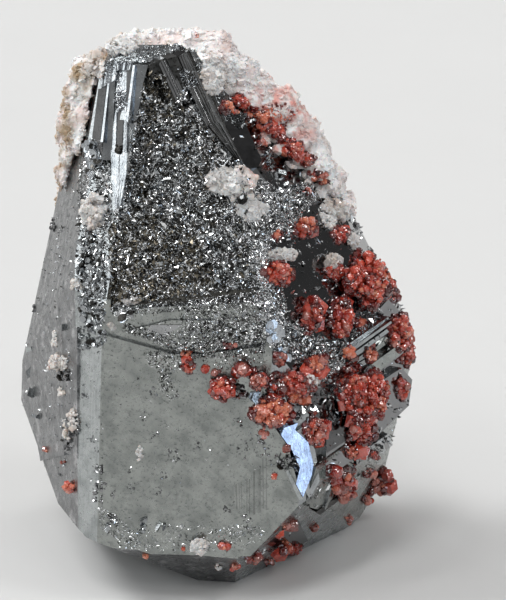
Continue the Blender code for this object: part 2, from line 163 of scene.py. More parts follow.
class Nodes:
    """A short way to put shader nodes together in one material or world."""

    def __init__(self, tree: bpy.types.NodeTree) -> None:
        """Starts on a node tree."""
        self.tree = tree

    def feed(self, socket: Socket, value: object) -> None:
        """Links a socket to another, or sets its value.

        Args:
            socket: The socket.
            value: The other socket or the value.
        """
        if isinstance(value, Socket):
            self.tree.links.new(value, socket)
        else:
            socket.default_value = value

    def dress(self, node: bpy.types.Node, **inputs: object) -> None:
        """Feeds a node's sockets, by name with underscores for spaces."""
        for name, value in inputs.items():
            self.feed(node.inputs[name.replace("_", " ")], value)

    def add(self, kind: str, **inputs: object) -> bpy.types.Node:
        """Adds one node.

        Args:
            kind: The node's type name after ShaderNode.
            **inputs: Its sockets, by name with underscores for spaces, each a value or another socket.

        Returns:
            The node.
        """
        node = self.tree.nodes.new("ShaderNode" + kind)
        self.dress(node, **inputs)
        return node

    def math(self, operation: str, first: object, second: object) -> Socket:
        """One step of arithmetic on two values.

        Args:
            operation: The Math node's operation.
            first: The first value or socket.
            second: The second value or socket.

        Returns:
            The result's socket.
        """
        node = self.add("Math")
        node.operation = operation
        self.feed(node.inputs[0], first)
        self.feed(node.inputs[1], second)
        return node.outputs[0]

    def vector(self, operation: str, first: object, second: object) -> Socket:
        """One step of arithmetic on two vectors, or on a vector and its scale.

        Args:
            operation: The Vector Math node's operation.
            first: The first vector or socket.
            second: The second vector, or the scale, or a socket.

        Returns:
            The result's socket.
        """
        node = self.add("VectorMath")
        node.operation = operation
        self.feed(node.inputs[0], first)
        self.feed(node.inputs["Scale" if operation == "SCALE" else 1], second)
        return node.outputs["Value" if operation in ("DISTANCE", "DOT_PRODUCT") else "Vector"]

    def millimetres(self) -> Socket:
        """The place on the object, in millimetres."""
        return self.vector("SCALE", self.add("TexCoord").outputs["Object"], 1.0 / MM)

    def stretched(self, place: Socket, turn: Triple, scale: Triple) -> Socket:
        """A place turned and stretched, for grain that runs one way.

        Args:
            place: The place's socket.
            turn: The turn about each axis, in degrees.
            scale: The stretch along each axis.

        Returns:
            The new place's socket.
        """
        angles = tuple(math.radians(angle) for angle in turn)
        lengths = tuple(1.0 / part for part in scale)
        node = self.add("Mapping", Vector=place)
        node.vector_type = "TEXTURE"
        self.dress(node, Rotation=angles, Scale=lengths)
        return node.outputs[0]

    def noise(self, place: Socket, scale: float, detail: float = 3.0) -> Socket:
        """Soft noise with features of about 1/scale millimetres."""
        return self.add("TexNoise", Vector=place, Scale=scale, Detail=detail).outputs[0]

    def ramp(self, value: object, low: float, high: float, start: object = 0.0, end: object = 1.0) -> Socket:
        """Maps low..high to start..end, clamped.

        Args:
            value: The value or its socket.
            low: The value that gives the start.
            high: The value that gives the end.
            start: What low becomes.
            end: What high becomes.

        Returns:
            The result's socket.
        """
        node = self.add("MapRange")
        for socket, item in zip(node.inputs, (value, low, high, start, end)):
            self.feed(socket, item)
        return node.outputs[0]

    def mix(self, factor: object, first: object, second: object) -> Socket:
        """A colour between two.

        Args:
            factor: The second colour's share, or its socket.
            first: The first colour, or its socket.
            second: The second colour, or its socket.

        Returns:
            The colour's socket.
        """
        node = self.add("Mix")
        node.data_type = "RGBA"
        self.feed(node.inputs[0], factor)
        for socket, colour in ((node.inputs[6], first), (node.inputs[7], second)):
            self.feed(socket, (*colour, 1.0) if isinstance(colour, tuple) else colour)
        return node.outputs[2]

    def roughen(self, shader: bpy.types.Node, height: object, distance: float, strength: float) -> None:
        """Gives a shader a fine relief of a height, over a distance in millimetres."""
        bump = self.add("Bump", Height=height, Distance=distance * MM, Strength=strength)
        self.feed(shader.inputs["Normal"], bump.outputs[0])


class Finish:
    """A surface's finish, which makes one material."""

    name: str

    def material(self) -> bpy.types.Material:
        """Makes the material.

        Returns:
            The material.
        """
        made = bpy.data.materials.new(self.name)
        made.use_nodes = True
        nodes = Nodes(made.node_tree)
        self.dress(nodes, made.node_tree.nodes["Principled BSDF"], nodes.millimetres())
        return made

    def dress(self, nodes: Nodes, shader: bpy.types.Node, place: Socket) -> None:
        """Dresses the shader.

        Args:
            nodes: The material's nodes.
            shader: Its Principled shader.
            place: The place on the object, in millimetres.
        """
        raise NotImplementedError


@dataclass(frozen=True)
class HematiteFinish(Finish):
    """A hematite surface: its tones, how satin it is, and the clouds, fine striae, pits and bloom on it."""

    name: str
    dark: Triple
    light: Triple
    roughness: float
    stria_turn: Triple = (0.0, 0.0, 0.0)
    stria_scale: Triple = (0.4, 0.4, 9.0)
    stria_height: float = 0.0
    pit_height: float = 0.0
    pit_scale: float = 6.0
    bloom: float = 0.0
    streaks: float = 0.0
    cloud_scale: float = 0.75
    wear_scale: float = 1.3
    bloom_scale: float = 0.85
    bloom_colour: Triple = (0.66, 0.65, 0.66)

    def dress(self, nodes: Nodes, shader: bpy.types.Node, place: Socket) -> None:
        """Makes clouds that the striae streak and painted shade darkens in the pits, and pale bloom on top.

        Args:
            nodes: The material's nodes.
            shader: Its Principled shader.
            place: The place on the object, in millimetres.
        """
        clouds = nodes.noise(place, self.cloud_scale, 6.0)
        specks = nodes.noise(place, self.pit_scale, 2.0)
        grain = nodes.noise(nodes.stretched(place, self.stria_turn, self.stria_scale), 1.0, 4.0)
        wear = nodes.noise(place, self.wear_scale, 4.0)
        streaky = nodes.math("ADD", clouds, nodes.ramp(grain, 0.3, 0.7, -self.streaks, self.streaks))
        # painted shade: the tone darkens to 0.72 where the pits are
        tone = nodes.math("MULTIPLY", streaky, nodes.ramp(specks, 0.34, 0.44, 0.72))
        colour = nodes.mix(nodes.ramp(tone, 0.3, 0.62), self.dark, self.light)
        if self.bloom:
            spots = nodes.ramp(nodes.noise(place, self.bloom_scale, 6.0), 0.56, 0.68, 0.0, self.bloom)
            colour = nodes.mix(spots, colour, self.bloom_colour)
        worn = nodes.ramp(wear, 0.35, 0.7, self.roughness * 0.75, self.roughness * 1.35)
        nodes.dress(shader, Base_Color=colour, Metallic=1.0, Roughness=worn)
        striae = nodes.math("MULTIPLY", grain, self.stria_height)
        pits = nodes.math("MULTIPLY", nodes.ramp(specks, 0.3, 0.45), self.pit_height)
        nodes.roughen(shader, nodes.math("ADD", striae, pits), 1.0, 1.0)


@dataclass(frozen=True)
class GarnetFinish(Finish):
    """Glassy andradite: its deep and its bright colour, which differ from crystal to crystal."""

    name: str
    deep: Triple
    bright: Triple
    clear: float = 0.35
    roughness: float = 0.03
    gloss: float = 0.62
    refraction: float = 1.87
    zone_scale: float = 0.5
    facet_scale: float = 5.0
    facet_height: float = 0.03

    def dress(self, nodes: Nodes, shader: bpy.types.Node, place: Socket) -> None:
        """Makes each crystal its own red, zoned and finely faceted.

        Args:
            nodes: The material's nodes.
            shader: Its Principled shader.
            place: The place on the object, in millimetres.
        """
        crystal = nodes.add("NewGeometry").outputs["Random Per Island"]
        zone = nodes.ramp(nodes.noise(place, self.zone_scale), 0.35, 0.65, 0.0, 0.45)
        blend = nodes.math("ADD", nodes.math("MULTIPLY", crystal, 0.55), zone)
        worn = nodes.ramp(nodes.noise(place, 3.0), 0.35, 0.7, self.roughness * 0.6, self.roughness * 2.0)
        nodes.dress(
            shader, Base_Color=nodes.mix(blend, self.deep, self.bright), Transmission_Weight=self.clear,
            IOR=self.refraction, Specular_IOR_Level=self.gloss, Roughness=worn,
        )
        cells = nodes.add("TexVoronoi", Vector=place, Scale=self.facet_scale).outputs["Distance"]
        nodes.roughen(shader, cells, self.facet_height, 0.8)


@dataclass(frozen=True)
class CalciteFinish(Finish):
    """Sugary calcite, pale pink to white, with rusty stains, most on the left, and a red blush."""

    name: str
    pale: Triple = (0.83, 0.81, 0.795)
    rosy: Triple = (0.70, 0.57, 0.54)
    rust: Triple = (0.36, 0.265, 0.17)
    blush: Triple = (0.62, 0.15, 0.10)
    stain: float = 0.35
    left_stain: float = 1.0
    blush_place: Triple = (5.4, 0.0, 38.5)
    grain_scale: float = 4.0
    grain_height: float = 0.12
    roughness: float = 0.4
    milky: float = 0.35
    milk_reach: Triple = (1.0, 0.6, 0.45)
    milk_depth: float = 0.8

    def dress(self, nodes: Nodes, shader: bpy.types.Node, place: Socket) -> None:
        """Makes the pale body, the stains and the blush, and lets light sink in.

        Args:
            nodes: The material's nodes.
            shader: Its Principled shader.
            place: The place on the object, in millimetres.
        """
        body = nodes.mix(nodes.ramp(nodes.noise(place, 0.45, 4.0), 0.42, 0.66), self.pale, self.rosy)
        side = nodes.add("SeparateXYZ", Vector=place).outputs["X"]
        most = nodes.ramp(side, -4.0, -10.0, self.stain, self.left_stain)
        level = nodes.ramp(side, -4.0, -11.0, 0.54, 0.46)
        patchy = nodes.math("SUBTRACT", nodes.noise(place, 0.6, 6.0), level)
        stains = nodes.math("MULTIPLY", nodes.ramp(patchy, 0.0, 0.17), most)
        away = nodes.vector("DISTANCE", nodes.vector("MULTIPLY", place, (1.0, 0.0, 1.0)), self.blush_place)
        near = nodes.ramp(away, 1.5, 4.4, 0.75, 0.0)
        red = nodes.math("MULTIPLY", nodes.ramp(nodes.noise(place, 1.1, 5.0), 0.46, 0.62), near)
        nodes.dress(
            shader, Base_Color=nodes.mix(red, nodes.mix(stains, body, self.rust), self.blush),
            Roughness=self.roughness, Subsurface_Weight=self.milky, Subsurface_Radius=self.milk_reach,
            Subsurface_Scale=self.milk_depth * MM,
        )
        nodes.roughen(shader, nodes.noise(place, self.grain_scale, 4.0), self.grain_height, 0.8)


@dataclass(frozen=True)
class FloorFinish(Finish):
    """The plain pale table."""

    name: str = "pale_table"
    colour: Triple = (0.572, 0.572, 0.567)
    darker: float = 0.97
    cloud_scale: float = 0.05
    roughness: float = 0.8
    gloss: float = 0.2

    def dress(self, nodes: Nodes, shader: bpy.types.Node, place: Socket) -> None:
        """Makes the table matt and hardly uneven.

        Args:
            nodes: The material's nodes.
            shader: Its Principled shader.
            place: The place on the object, in millimetres.
        """
        shade = tuple(value * self.darker for value in self.colour)
        colour = nodes.mix(nodes.noise(place, self.cloud_scale, 4.0), shade, self.colour)
        nodes.dress(shader, Base_Color=colour, Roughness=self.roughness, Specular_IOR_Level=self.gloss)


class Hematite(Enum):
    """The hematite surfaces on the specimen; some are copies darkened or tinted as painted shade or
    reflection.
    """

    FRONT = HematiteFinish(
        "hematite_front_satin", (0.215, 0.228, 0.22), (0.33, 0.345, 0.33), 0.24,
        stria_turn=(0.0, 40.0, 0.0), stria_scale=(0.5, 0.5, 2.6), stria_height=0.012, pit_height=0.012,
        pit_scale=4.0, streaks=0.06,
    )
    BEVEL = HematiteFinish(
        "hematite_bevel_striated", (0.31, 0.33, 0.33), (0.46, 0.48, 0.48), 0.26,
        stria_scale=(5.0, 5.0, 0.25), stria_height=0.02, pit_height=0.012, pit_scale=4.0, streaks=0.1,
    )
    LEFT = HematiteFinish(
        "hematite_left_face", (0.158, 0.16, 0.163), (0.247, 0.25, 0.254), 0.28,
        stria_scale=(1.6, 1.6, 0.6), stria_height=0.02, pit_height=0.02, pit_scale=3.0, bloom=0.5,
        streaks=0.08,
    )
    # a darker copy of the left-face finish: painted shade on the upper left face
    UPPER = HematiteFinish(
        "hematite_upper_left_painted_shade", (0.105, 0.108, 0.11), (0.168, 0.172, 0.175), 0.28,
        stria_scale=(1.6, 1.6, 0.6), stria_height=0.02, pit_height=0.02, pit_scale=3.0, bloom=0.28,
        streaks=0.08,
    )
    MIRROR = HematiteFinish(
        "hematite_black_mirror", (0.22, 0.225, 0.23), (0.26, 0.26, 0.265), 0.08, stria_height=0.002,
    )
    DRUSE = HematiteFinish(
        "hematite_rough_bed", (0.02, 0.019, 0.017), (0.10, 0.097, 0.088), 0.42, pit_height=0.12,
        pit_scale=3.5,
    )
    # near-black: painted shade for gaps in the druse, hollows, the notch and the lines between ribs
    BLACK = HematiteFinish(
        "hematite_painted_shade", (0.012, 0.012, 0.011), (0.06, 0.058, 0.054), 0.3, pit_height=0.03,
    )
    # a darker copy of the mirror finish: painted dark reflection, and painted shade in lines and near the
    # base
    NIGHT = HematiteFinish(
        "hematite_mirror_painted_dark", (0.07, 0.07, 0.072), (0.12, 0.12, 0.123), 0.1, stria_height=0.002,
    )
    BRIGHT = HematiteFinish(
        "hematite_bright_bar", (0.26, 0.28, 0.30), (0.46, 0.48, 0.50), 0.16,
        stria_scale=(7.0, 7.0, 0.3), stria_height=0.03,
    )
    OLIVE = HematiteFinish("hematite_tarnished_plates", (0.10, 0.085, 0.06), (0.24, 0.215, 0.17), 0.3)
    RIBBED = HematiteFinish(
        "hematite_ribbed", (0.24, 0.25, 0.26), (0.38, 0.40, 0.41), 0.16,
        stria_scale=(7.0, 7.0, 0.3), stria_height=0.03,
    )
    SLAB = HematiteFinish("hematite_dark_slab", (0.25, 0.257, 0.26), (0.36, 0.365, 0.37), 0.15)
    # bluish base colour: painted blue reflection on the glint facet, added to the blue panel's light
    COOL = HematiteFinish(
        "hematite_painted_blue_reflection", (0.27, 0.325, 0.43), (0.40, 0.46, 0.59), 0.18,
        stria_scale=(5.0, 5.0, 0.4), stria_height=0.03, streaks=0.1,
    )
    # a darker copy of the front finish: painted shade in the grooves
    GROOVE = HematiteFinish("hematite_painted_groove_shade", (0.14, 0.145, 0.14), (0.24, 0.245, 0.24), 0.24)
    BLADE = HematiteFinish("hematite_small_plates", (0.50, 0.515, 0.52), (0.78, 0.79, 0.80), 0.13)


(
    FRONT, BEVEL, LEFT, UPPER, MIRROR, DRUSE, BLACK, NIGHT, BRIGHT, OLIVE, RIBBED, SLAB, COOL, GROOVE, BLADE,
) = Hematite


class Garnet(Enum):
    """The colours of the andradite on the specimen, and a dark red that paints shade in cluster hollows."""

    RED = GarnetFinish("andradite_deep_red", (0.28, 0.008, 0.006), (0.92, 0.135, 0.075))
    ORANGE = GarnetFinish("andradite_orange", (0.52, 0.045, 0.022), (1.0, 0.37, 0.21))
    BROWN = GarnetFinish("andradite_dark_brown", (0.14, 0.011, 0.010), (0.88, 0.30, 0.22))
    # painted shade: near-black red for the crystals low in a cluster's hollows
    DEEP = GarnetFinish("andradite_painted_hollow_shade", (0.03, 0.002, 0.002), (0.30, 0.02, 0.012))


RED, ORANGE, BROWN, DEEP = Garnet


class Calcite(Enum):
    """The kinds of calcite on the specimen."""

    CRUST = CalciteFinish("calcite_crust")
    PATCH = CalciteFinish("calcite_patch", (0.71, 0.68, 0.66), (0.58, 0.50, 0.46), stain=0.25, left_stain=0.3)


MATERIALS: dict[Enum, bpy.types.Material] = {}


def dress(item: bpy.types.Object, finishes: Iterable[Enum]) -> None:
    """Gives an object the materials of some finishes.

    Args:
        item: The object.
        finishes: The finishes, in the order of its slots.
    """
    item.data.materials.clear()
    for finish in finishes:
        item.data.materials.append(MATERIALS[finish])


# Small crystal shapes


@dataclass(frozen=True, eq=False)
class Shape:
    """A unit crystal: its corners as rows of an array, and its faces as rings of corner numbers."""

    corners: np.ndarray
    faces: Rings


def hull_shape(points: list[Triple]) -> Shape:
    """The flat-faced solid round some points.

    Args:
        points: The corners.

    Returns:
        The shape.
    """
    mesh = bmesh.new()
    for point in points:
        mesh.verts.new(point)
    bmesh.ops.convex_hull(mesh, input=mesh.verts[:])
    bmesh.ops.dissolve_limit(mesh, angle_limit=math.radians(1), verts=mesh.verts[:], edges=mesh.edges[:])
    mesh.verts.index_update()
    corners = np.array([vert.co[:] for vert in mesh.verts])
    faces = tuple(tuple(vert.index for vert in face.verts) for face in mesh.faces)
    mesh.free()
    return Shape(corners, faces)


def signed(*sizes: Triple) -> list[Triple]:
    """Every point that some sizes give with each sign and in each order of their three numbers.

    Args:
        *sizes: The sizes.

    Returns:
        The points, each once.
    """
    found = set()
    for size in sizes:
        for a, b, c in permutations(size):
            for i, j, k in product((1, -1), repeat=3):
                found.add((a * i, b * j, c * k))
    return sorted((a + 0.0, b + 0.0, c + 0.0) for a, b, c in found)


def plate_points(*rings: Point) -> list[Triple]:
    """The corners of a six-sided plate, from the radius and height of each ring of corners."""
    return [(size * math.cos(turn), size * math.sin(turn), rise) for size, rise in rings for turn in SIXTHS]


class Habit(Enum):
    """The shapes that the small crystals grow in."""

    DODECAHEDRON = hull_shape(signed((1.0, 0.0, 0.0), (0.5, 0.5, 0.5)))
    TRAPEZOHEDRON = hull_shape(signed((1.0, 0.0, 0.0), (0.667, 0.667, 0.0), (0.5, 0.5, 0.5)))
    THIN_PLATE = hull_shape([
        (math.cos(turn), math.sin(turn), rise) for turn in SIXTHS for rise in (-0.13, 0.13)
    ])
    THICK_PLATE = hull_shape(plate_points((0.84, 0.4), (1.0, 0.08), (0.84, -0.4)))
    BLADE = hull_shape([(-1.0, -0.05, 0.0), (1.0, 0.1, 0.0)] + [
        (x, y, z) for z in (-0.1, 0.1) for x, y in ((-0.3, 0.42), (0.35, -0.4))
    ])
    LENS = hull_shape([
        (-1.0, 0.0, 0.0), (1.0, 0.1, 0.0), (0.1, 0.5, 0.0), (-0.1, -0.5, 0.0), (0.1, 0.0, 0.16),
        (-0.1, 0.0, -0.16),
    ])
    RHOMB = hull_shape([
        (x + 0.25 * y, y + 0.2 * z, z + 0.15 * x) for x, y, z in product((-0.8, 0.8), repeat=3)
    ])


PLATES = (Habit.THIN_PLATE,)
BLADES = (Habit.BLADE, Habit.BLADE, Habit.LENS)
LUMPS = (Habit.THICK_PLATE, Habit.BLADE)


class Basket:
    """Collects many small solids into one mesh."""

    def __init__(self, name: str, finishes: Iterable[Enum], slot: str) -> None:
        """Starts empty.

        Args:
            name: The piece's name.
            finishes: The finishes that its solids may have.
            slot: A material slot name, which is not used.
        """
        self.name = name
        self.finishes = tuple(dict.fromkeys(finishes))
        self.slot = slot
        self.corners: list[np.ndarray] = []
        self.faces: list[tuple[int, ...]] = []
        self.finish_of: list[int] = []
        self.count = 0

    def add(self, corners: np.ndarray, faces: Rings, finish: Enum) -> None:
        """Puts one solid in.

        Args:
            corners: Its corners, in millimetres.
            faces: Its faces, as rings of corner numbers.
            finish: Its finish, one of the basket's.
        """
        self.corners.append(corners)
        self.faces.extend(tuple(self.count + index for index in ring) for ring in faces)
        self.finish_of.extend([self.finishes.index(finish)] * len(faces))
        self.count += len(corners)

    def add_crystal(self, habit: Habit, place: Vector, turn: np.ndarray, size: Triple, finish: Enum) -> None:
        """Puts one crystal in.

        Args:
            habit: Its shape.
            place: Its centre.
            turn: Its rotation matrix.
            size: Its stretch along its own axes, in millimetres.
            finish: Its finish, one of the basket's.
        """
        self.add((habit.value.corners * np.array(size)) @ turn.T + np.array(place), habit.value.faces, finish)

    def make(self) -> bpy.types.Object:
        """Makes the object, with its materials, and has it ride on the specimen.

        Returns:
            The object.
        """
        data = bpy.data.meshes.new(self.name)
        data.from_pydata((np.concatenate(self.corners) * MM).tolist(), [], self.faces)
        made = new_object(self.name, data)
        dress(made, self.finishes)
        data.polygons.foreach_set("material_index", self.finish_of)
        data.validate()
        return seated(made)


def seated(piece: bpy.types.Object) -> bpy.types.Object:
    """Has a piece ride on the specimen.

    Args:
        piece: The piece.

    Returns:
        The piece.
    """
    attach(piece, BODY)
    LOG.info("%s: %d faces", piece.name, len(piece.data.polygons))
    return piece


def any_turn(chance: np.random.Generator) -> np.ndarray:
    """A rotation matrix, any as likely as another.

    Args:
        chance: The source of chance.

    Returns:
        The rotation matrix.
    """
    w, x, y, z = (lambda four: four / np.linalg.norm(four))(chance.normal(size=4))
    return np.array((
        (1 - 2 * (y * y + z * z), 2 * (x * y - z * w), 2 * (x * z + y * w)),
        (2 * (x * y + z * w), 1 - 2 * (x * x + z * z), 2 * (y * z - x * w)),
        (2 * (x * z - y * w), 2 * (y * z + x * w), 1 - 2 * (x * x + y * y)),
    ))


def leaning_turn(chance: np.random.Generator, normal: Vector, lean: float) -> np.ndarray:
    """A rotation whose third axis leans a chance angle from a surface's normal.

    Args:
        chance: The source of chance.
        normal: The surface's normal.
        lean: The spread of the lean, where 1 is about 45 degrees.

    Returns:
        The rotation matrix.
    """
    third = np.array(normal) + chance.normal(size=3) * lean
    third /= np.linalg.norm(third)
    first = np.cross(third, chance.normal(size=3))
    first /= np.linalg.norm(first)
    return np.stack((first, np.cross(third, first), third), axis=1)


def add_grain(basket: Basket, place: Vector, radius: float, chance: np.random.Generator) -> None:
    """Puts one calcite grain in a basket.

    Args:
        basket: The basket, whose first finish it has.
        place: Its centre.
        radius: The usual half size, in millimetres.
        chance: The source of chance.
    """
    size = radius * chance.lognormal(0.0, UNEVEN)
    stretch = tuple(size * part for part in GRAIN)
    basket.add_crystal(Habit.RHOMB, place, any_turn(chance), stretch, basket.finishes[0])


# The ground that small crystals grow on


class Ground:
    """The surfaces that sight lines can meet."""

    def __init__(self, objects: Iterable[bpy.types.Object]) -> None:
        """Takes in the meshes of some objects."""
        self.trees = [self.tree_of(item) for item in objects]

    @staticmethod
    def tree_of(item: bpy.types.Object) -> BVHTree:
        """A search tree of one object's surface, in millimetres."""
        corners = [vert.co / MM for vert in item.data.vertices]
        return BVHTree.FromPolygons(corners, [polygon.vertices[:] for polygon in item.data.polygons])

    def meet(self, column: float, row: float, azimuth: float = 0.0) -> tuple[Vector, Vector] | None:
        """Where a sight line first meets the specimen.

        Args:
            column: The pixel's column.
            row: The pixel's row.
            azimuth: How far round from the front the eye stands, in degrees.

        Returns:
            The point and the surface's normal there, or None.
        """
        eye, way = SIGHT.line(column, row, azimuth)
        hits = [tree.ray_cast(eye, way) for tree in self.trees]
        near = min((hit for hit in hits if hit[0] is not None), key=lambda hit: hit[3], default=None)
        if near is None:
            return None
        return near[0], near[1] if near[1].dot(way) < 0 else -near[1]

    def nearest(self, place: Vector) -> tuple[Vector, Vector, float]:
        """The nearest point of the first object, the normal there and how far off it is."""
        near, normal, _, distance = self.trees[0].find_nearest(place)
        return near, normal, distance


def inside(outline: Outline, column: float, row: float) -> bool:
    """Whether a pixel lies in an outline.

    Args:
        outline: The outline's corners.
        column: The pixel's column.
        row: The pixel's row.

    Returns:
        True where it does.
    """
    within = False
    for (x1, y1), (x2, y2) in zip(outline, outline[1:] + outline[:1]):
        if (y1 > row) != (y2 > row) and column < x1 + (row - y1) * (x2 - x1) / (y2 - y1):
            within = not within
    return within


@dataclass(frozen=True)
class Ellipse:
    """An ellipse of the photograph or of another view: its middle and its half sizes, in pixels."""

    column: float
    row: float
    wide: float
    high: float

    def pick(self, chance: np.random.Generator, ragged: float = 0.0) -> tuple[float, float, float]:
        """A chance pixel in it.

        Args:
            chance: The source of chance.
            ragged: How uneven its edge is.

        Returns:
            How far out the pixel lies, where 1 is the edge, its column and its row.
        """
        far, turn = math.sqrt(chance.random()), chance.uniform(0, math.tau)
        edge = noise.noise(Vector((2.0 * math.cos(turn), 2.0 * math.sin(turn), self.column)))
        far *= 1.0 + ragged * edge
        column = self.column + self.wide * far * math.cos(turn)
        return far, column, self.row + self.high * far * math.sin(turn)


# The big hematite crystal


@dataclass(frozen=True)
class FaceRule:
    """Which finish a crystal face gets, by the way it looks."""

    azimuth: float
    tilt: float
    reach: float
    finish: Hematite


@dataclass
class HematiteCrystal:
    """The dark crystal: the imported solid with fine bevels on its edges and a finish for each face."""

    bevel: float = 0.05
    sharp_degrees: float = 14.0
    flat_degrees: float = 0.3
    weld_m: float = 1e-7
    # some faces get darker or tinted copies of a finish by the way they face: painted shade and reflection
    rules: tuple[FaceRule, ...] = (
        FaceRule(-3, 1, 6, FRONT), FaceRule(-2, 20, 4, DRUSE), FaceRule(-42, 2, 9, BEVEL),
        FaceRule(-38, 21.5, 9, RIBBED), FaceRule(-72, 5, 17, LEFT), FaceRule(-82, -20, 14, LEFT),
        FaceRule(30, 29.5, 5, SLAB), FaceRule(48, 17, 6, MIRROR), FaceRule(54, 2, 6, MIRROR),
        FaceRule(75, 38.5, 5, NIGHT), FaceRule(84, 30.5, 5, MIRROR), FaceRule(24, 0, 8, RIBBED),
        FaceRule(65, -19, 6, FRONT), FaceRule(88, 6, 6, LEFT), FaceRule(176, 4, 6, LEFT),
        FaceRule(-125, 5, 6, BEVEL), FaceRule(130, 10, 6, FRONT), FaceRule(180, -40, 8, DRUSE),
        FaceRule(52, -38, 8, BEVEL), FaceRule(-8, -50, 10, LEFT), FaceRule(-80, 14, 4, UPPER),
        FaceRule(46, 7, 3, MIRROR), FaceRule(-41, 45, 6, DRUSE),
    )

    def finish_for(self, normal: Vector) -> Hematite:
        """The finish of a polygon.

        Args:
            normal: The polygon's normal.

        Returns:
            The finish of the nearest rule in reach, or the ribbed finish.
        """
        best, found = math.inf, RIBBED
        for rule in self.rules:
            angle = math.degrees(towards(rule.azimuth, rule.tilt).angle(normal))
            if angle < min(best, rule.reach):
                best, found = angle, rule.finish
        return found

    def build(self, node: bpy.types.Object) -> bpy.types.Object:
        """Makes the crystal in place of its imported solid.

        Args:
            node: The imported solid.

        Returns:
            The crystal.
        """
        mesh = bmesh.new()
        mesh.from_mesh(node.data)
        bmesh.ops.remove_doubles(mesh, verts=mesh.verts[:], dist=self.weld_m)
        flat = math.radians(self.flat_degrees)
        bmesh.ops.dissolve_limit(mesh, angle_limit=flat, verts=mesh.verts[:], edges=mesh.edges[:])
        data = bpy.data.meshes.new("hematite_body")
        mesh.to_mesh(data)
        mesh.free()
        crystal = new_object("hematite_body", data)
        bevel = crystal.modifiers.new("edge", "BEVEL")
        bevel.width = self.bevel * MM
        bevel.segments = 1
        bevel.limit_method = "ANGLE"
        bevel.angle_limit = math.radians(self.sharp_degrees)
        bevel.use_clamp_overlap = True
        apply_modifiers(crystal)
        dress(crystal, Hematite)
        kinds = list(Hematite)
        for polygon in crystal.data.polygons:
            polygon.use_smooth = False
            polygon.material_index = kinds.index(self.finish_for(polygon.normal))
        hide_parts("hematite_crystal")
        return seated(crystal)


def apply_modifiers(item: bpy.types.Object) -> None:
    """Replaces an object's mesh by what its modifiers make of it.

    Args:
        item: The object.
    """
    bpy.context.view_layer.update()
    graph = bpy.context.evaluated_depsgraph_get()
    result = bpy.data.meshes.new_from_object(item.evaluated_get(graph))
    item.modifiers.clear()
    item.data = result


# Fine hematite plates


@dataclass(frozen=True)
class Zone:
    """A patch of small hematite crystals: outline in pixels, number, size, lean, kinds and tarnish."""

    outline: Outline
    count: int
    radius: float
    lean: float = 1.4
    habits: tuple[Habit, ...] = BLADES
    finish: Hematite = BLADE
    tarnish: float = 0.0
    azimuth: float = 0.0
    face: Point | None = None


@dataclass
class DruseField:
    """All small hematite crystals of one part of the specimen, as one piece."""

    name: str
    zones: tuple[Zone, ...]
    # this share of the crystals is near-black: painted shade in the gaps of the druse
    black: float = 0.2
    sink: float = 0.3
    widths: Point = (0.6, 1.0)
    tries: int = 12

    def build(self, ground: Ground, chance: np.random.Generator) -> None:
        """Scatters the crystals.

        Args:
            ground: What they grow on.
            chance: The source of chance.
        """
        basket = Basket(self.name, [zone.finish for zone in self.zones] + [OLIVE, BLACK], "hematite")
        for zone in self.zones:
            for _ in range(zone.count):
                self.grow_one(zone, basket, ground, chance)
        basket.make()

    def grow_one(self, zone: Zone, basket: Basket, ground: Ground, chance: np.random.Generator) -> None:
        """Grows one crystal of a zone, where a chance pixel of it meets the ground.

        Args:
            zone: The zone.
            basket: Where the crystal goes.
            ground: What it grows on.
            chance: The source of chance.
        """
        columns, rows = zip(*zone.outline)
        for _ in range(self.tries):
            column, row = chance.uniform(min(columns), max(columns)), chance.uniform(min(rows), max(rows))
            if inside(zone.outline, column, row):
                break
        else:
            return
        hit = ground.meet(column, row, zone.azimuth)
        if hit is None:
            return
        size = zone.radius * chance.lognormal(0.0, UNEVEN)
        stretch = (size, size * chance.uniform(*self.widths), size)
        turn = leaning_turn(chance, towards(*zone.face) if zone.face else hit[1], zone.lean)
        habit = zone.habits[chance.integers(len(zone.habits))]
        finish = OLIVE if chance.random() < zone.tarnish else zone.finish
        # painted shade: a share of the crystals turn near-black
        if chance.random() < self.black:
            finish = BLACK
        basket.add_crystal(habit, hit[0] + hit[1] * size * self.sink, turn, stretch, finish)


# Bars, ribs and thin growth steps


@dataclass(frozen=True)
class Step:
    """A flat step or bar of hematite.

    Its outline is in pixels. A step with fine lines has four corners, and the lines run from the first two
    corners to the last two, every other one narrow and of the finish in between where there is one, which
    paints shade between the others. Its top faces an azimuth and a tilt, or lies as the face under its
    middle.
    """

    outline: Outline
    finish: Hematite
    lift: float = 0.05
    face: Point | None = None
    lines: int = 0
    spread: float = 6.0
    between: Hematite | None = None


